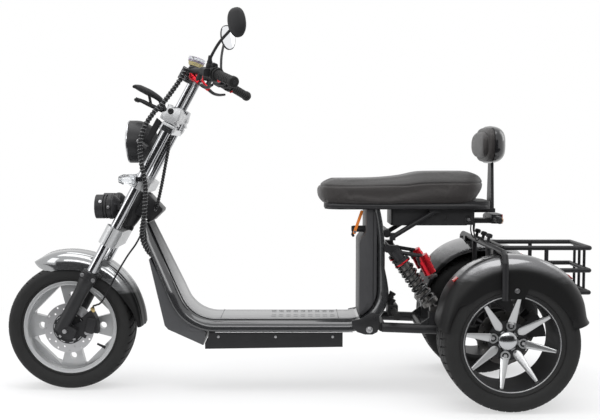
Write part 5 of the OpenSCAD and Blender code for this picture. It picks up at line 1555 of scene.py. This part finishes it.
# %% Under tray
TRAY = [(-0.165, 0.1640), (0.3170, 0.1570), (0.3175, 0.1780), (0.3100, 0.1850), (0.3030, 0.2170),
        (-0.165, 0.2170)]
FILLER = [(0.322, 0.2150), (0.376, 0.2200), (0.374, 0.2480), (0.345, 0.2360), (0.322, 0.2290)]
tray = Piece("tray", "frame", MATT_BLACK, STEEL, DEFLECTOR_GREY)
tray.add(plate(TRAY, (0, 0.095, 0), *SIDE_VIEW, 0.190, 0.002))
tray.add(plate(FILLER, (0, 0.0848, 0), *SIDE_VIEW, 0.1696, 0.0005), finish=2)
for sign in (1, -1):
    tray.add(tube([(-0.200, sign * 0.1005, 0.2178), (0.280, sign * 0.1005, 0.2178)], 0.0014, 8), finish=1)
    for x in (0.270, 0.070, -0.130):
        bolt(tray, (x, sign * 0.0952, 0.200), (0, sign, 0), 0.005, 1)
tray.make("under_tray", sharp=35)

# %% [markdown]
# The steering head is a swollen bearing tube with a boxed gusset behind it, to which the neck is welded. The
# tube is turned about the steering axis, and the gusset is an outline extruded across it.

# %% Steering head
head = Piece("bearing_head", "frame", CASE_BLACK, STEEL, FRAME_BLACK)
turned(head, [(0.0146, 0.401), (0.0275, 0.401), (0.0275, 0.411), (0.0255, 0.415), (0.0300, 0.435),
              (0.0335, 0.465), (0.0335, 0.500), (0.0300, 0.525), (0.0255, 0.540), (0.0275, 0.543),
              (0.0275, 0.552), (0.0146, 0.552)], FRONT_AXLE, FORK_UP, 48, 0, loop=True)
GUSSET = [(-0.012, 0.4660), (-0.012, 0.5480), (-0.022, 0.5500), (-0.0905, 0.5270), (-0.0930, 0.5180),
          (-0.0790, 0.4740), (-0.0740, 0.4690)]
head.add(plate(GUSSET, on_fork(0, 0.040, 0), FORK_FORE, FORK_UP, 0.080, 0.003), finish=2)
for sign in (1, -1):
    bolt(head, on_fork(-0.070, sign * 0.0405, 0.512), (0, sign, 0), 0.006, 1)
head.make("steering_head", sharp=35)

# %% [markdown]
# The springs sit between a red collar and the lower eye. The collar and a black ring above it are turned
# about the shock's own line, and the caps and a bright band of each reservoir about the reservoir's own
# line. The imported springs stay as they are.

# %% Shock trim
SHOCK_TOP = np.array([-0.340, 0.095, 0.508])
SHOCK_LOW = np.array([-0.482, 0.095, 0.304])
shock_way = unit(SHOCK_LOW - SHOCK_TOP)
shocks = Piece("shock_trim", "frame", RED_METAL, CHROME, CAST_BLACK)
for sign in (1, -1):
    top = SHOCK_TOP * (1, sign, 1)
    turned(shocks, [(0.017, 0.052), (0.0285, 0.052), (0.0295, 0.0535), (0.0295, 0.0575), (0.0285, 0.059),
                    (0.017, 0.059)], top, shock_way, 40, 0, loop=True)
    turned(shocks, [(0.017, 0.044), (0.0275, 0.044), (0.0275, 0.050), (0.017, 0.050)], top, shock_way, 40,
           2, loop=True)
    tank_way = unit((-0.033, 0, -0.069))
    tank = np.array([-0.4445, sign * 0.095, 0.481])
    for along in (-0.003, 0.072):
        turned(shocks, [(0, along), (0.0165, along), (0.0178, along + 0.002), (0.0178, along + 0.006),
                        (0.0165, along + 0.008), (0, along + 0.008)], tank, tank_way, 32, 2)
    turned(shocks, [(0.0176, 0.020), (0.0186, 0.021), (0.0186, 0.024), (0.0176, 0.025)], tank, tank_way, 32,
           1, loop=True)
shocks.make(sharp=35)

# %% [markdown]
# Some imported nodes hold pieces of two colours. `paint` gives their faces one finish or another by where a
# face is and which way it looks. Their shapes are right already, so nothing is rebuilt.

# %% Faces of two colours
def paint(name, finishes, rule):
    """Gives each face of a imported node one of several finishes, by its centre and its normal."""
    mesh = nodes[name].data
    to_world = np.array(nodes[name].matrix_world)
    count = len(mesh.polygons)
    centres = np.empty(count * 3)
    normals = np.empty(count * 3)
    mesh.polygons.foreach_get("center", centres)
    mesh.polygons.foreach_get("normal", normals)
    centres = centres.reshape(-1, 3) @ to_world[:3, :3].T + to_world[:3, 3]
    normals = normals.reshape(-1, 3) @ to_world[:3, :3].T
    mesh.materials.clear()
    for finish in finishes:
        mesh.materials.append(finish)
    mesh.polygons.foreach_set("material_index", np.asarray(rule(centres, normals)).astype(int).tolist())
    print(name, "painted with", len(finishes), "finishes")


paint("tail_lamp", [CASE_BLACK, RED_LENS], lambda c, n: (c[:, 0] < -0.700) & (n[:, 0] < -0.5))
paint("rear_indicators", [CASE_BLACK, AMBER_LENS], lambda c, n: n[:, 0] < -0.55)
paint("shock_reservoirs", [RED_METAL, CAST_BLACK], lambda c, n: c[:, 0] > -0.432)
paint("shock_dampers", [CAST_BLACK, DARK_STEEL], lambda c, n: c[:, 2] < 0.455)
paint("brake_masters", [MATT_BLACK], lambda c, n: np.zeros(len(c)))
paint("spot_lamps", [CAST_BLACK, CLEAR_LENS], lambda c, n: (n[:, 0] > 0.8) & (c[:, 0] > 0.680))
paint("shock_springs", [GLOSS_BLACK], lambda c, n: np.zeros(len(c)))
paint("front_indicators", [CHROME, CLEAR_LENS], lambda c, n: c[:, 0] > 0.555)
paint("lower_yoke", [YOKE_SILVER, CASE_BLACK], lambda c, n: c[:, 0] + 0.54 * c[:, 2] < 0.868)
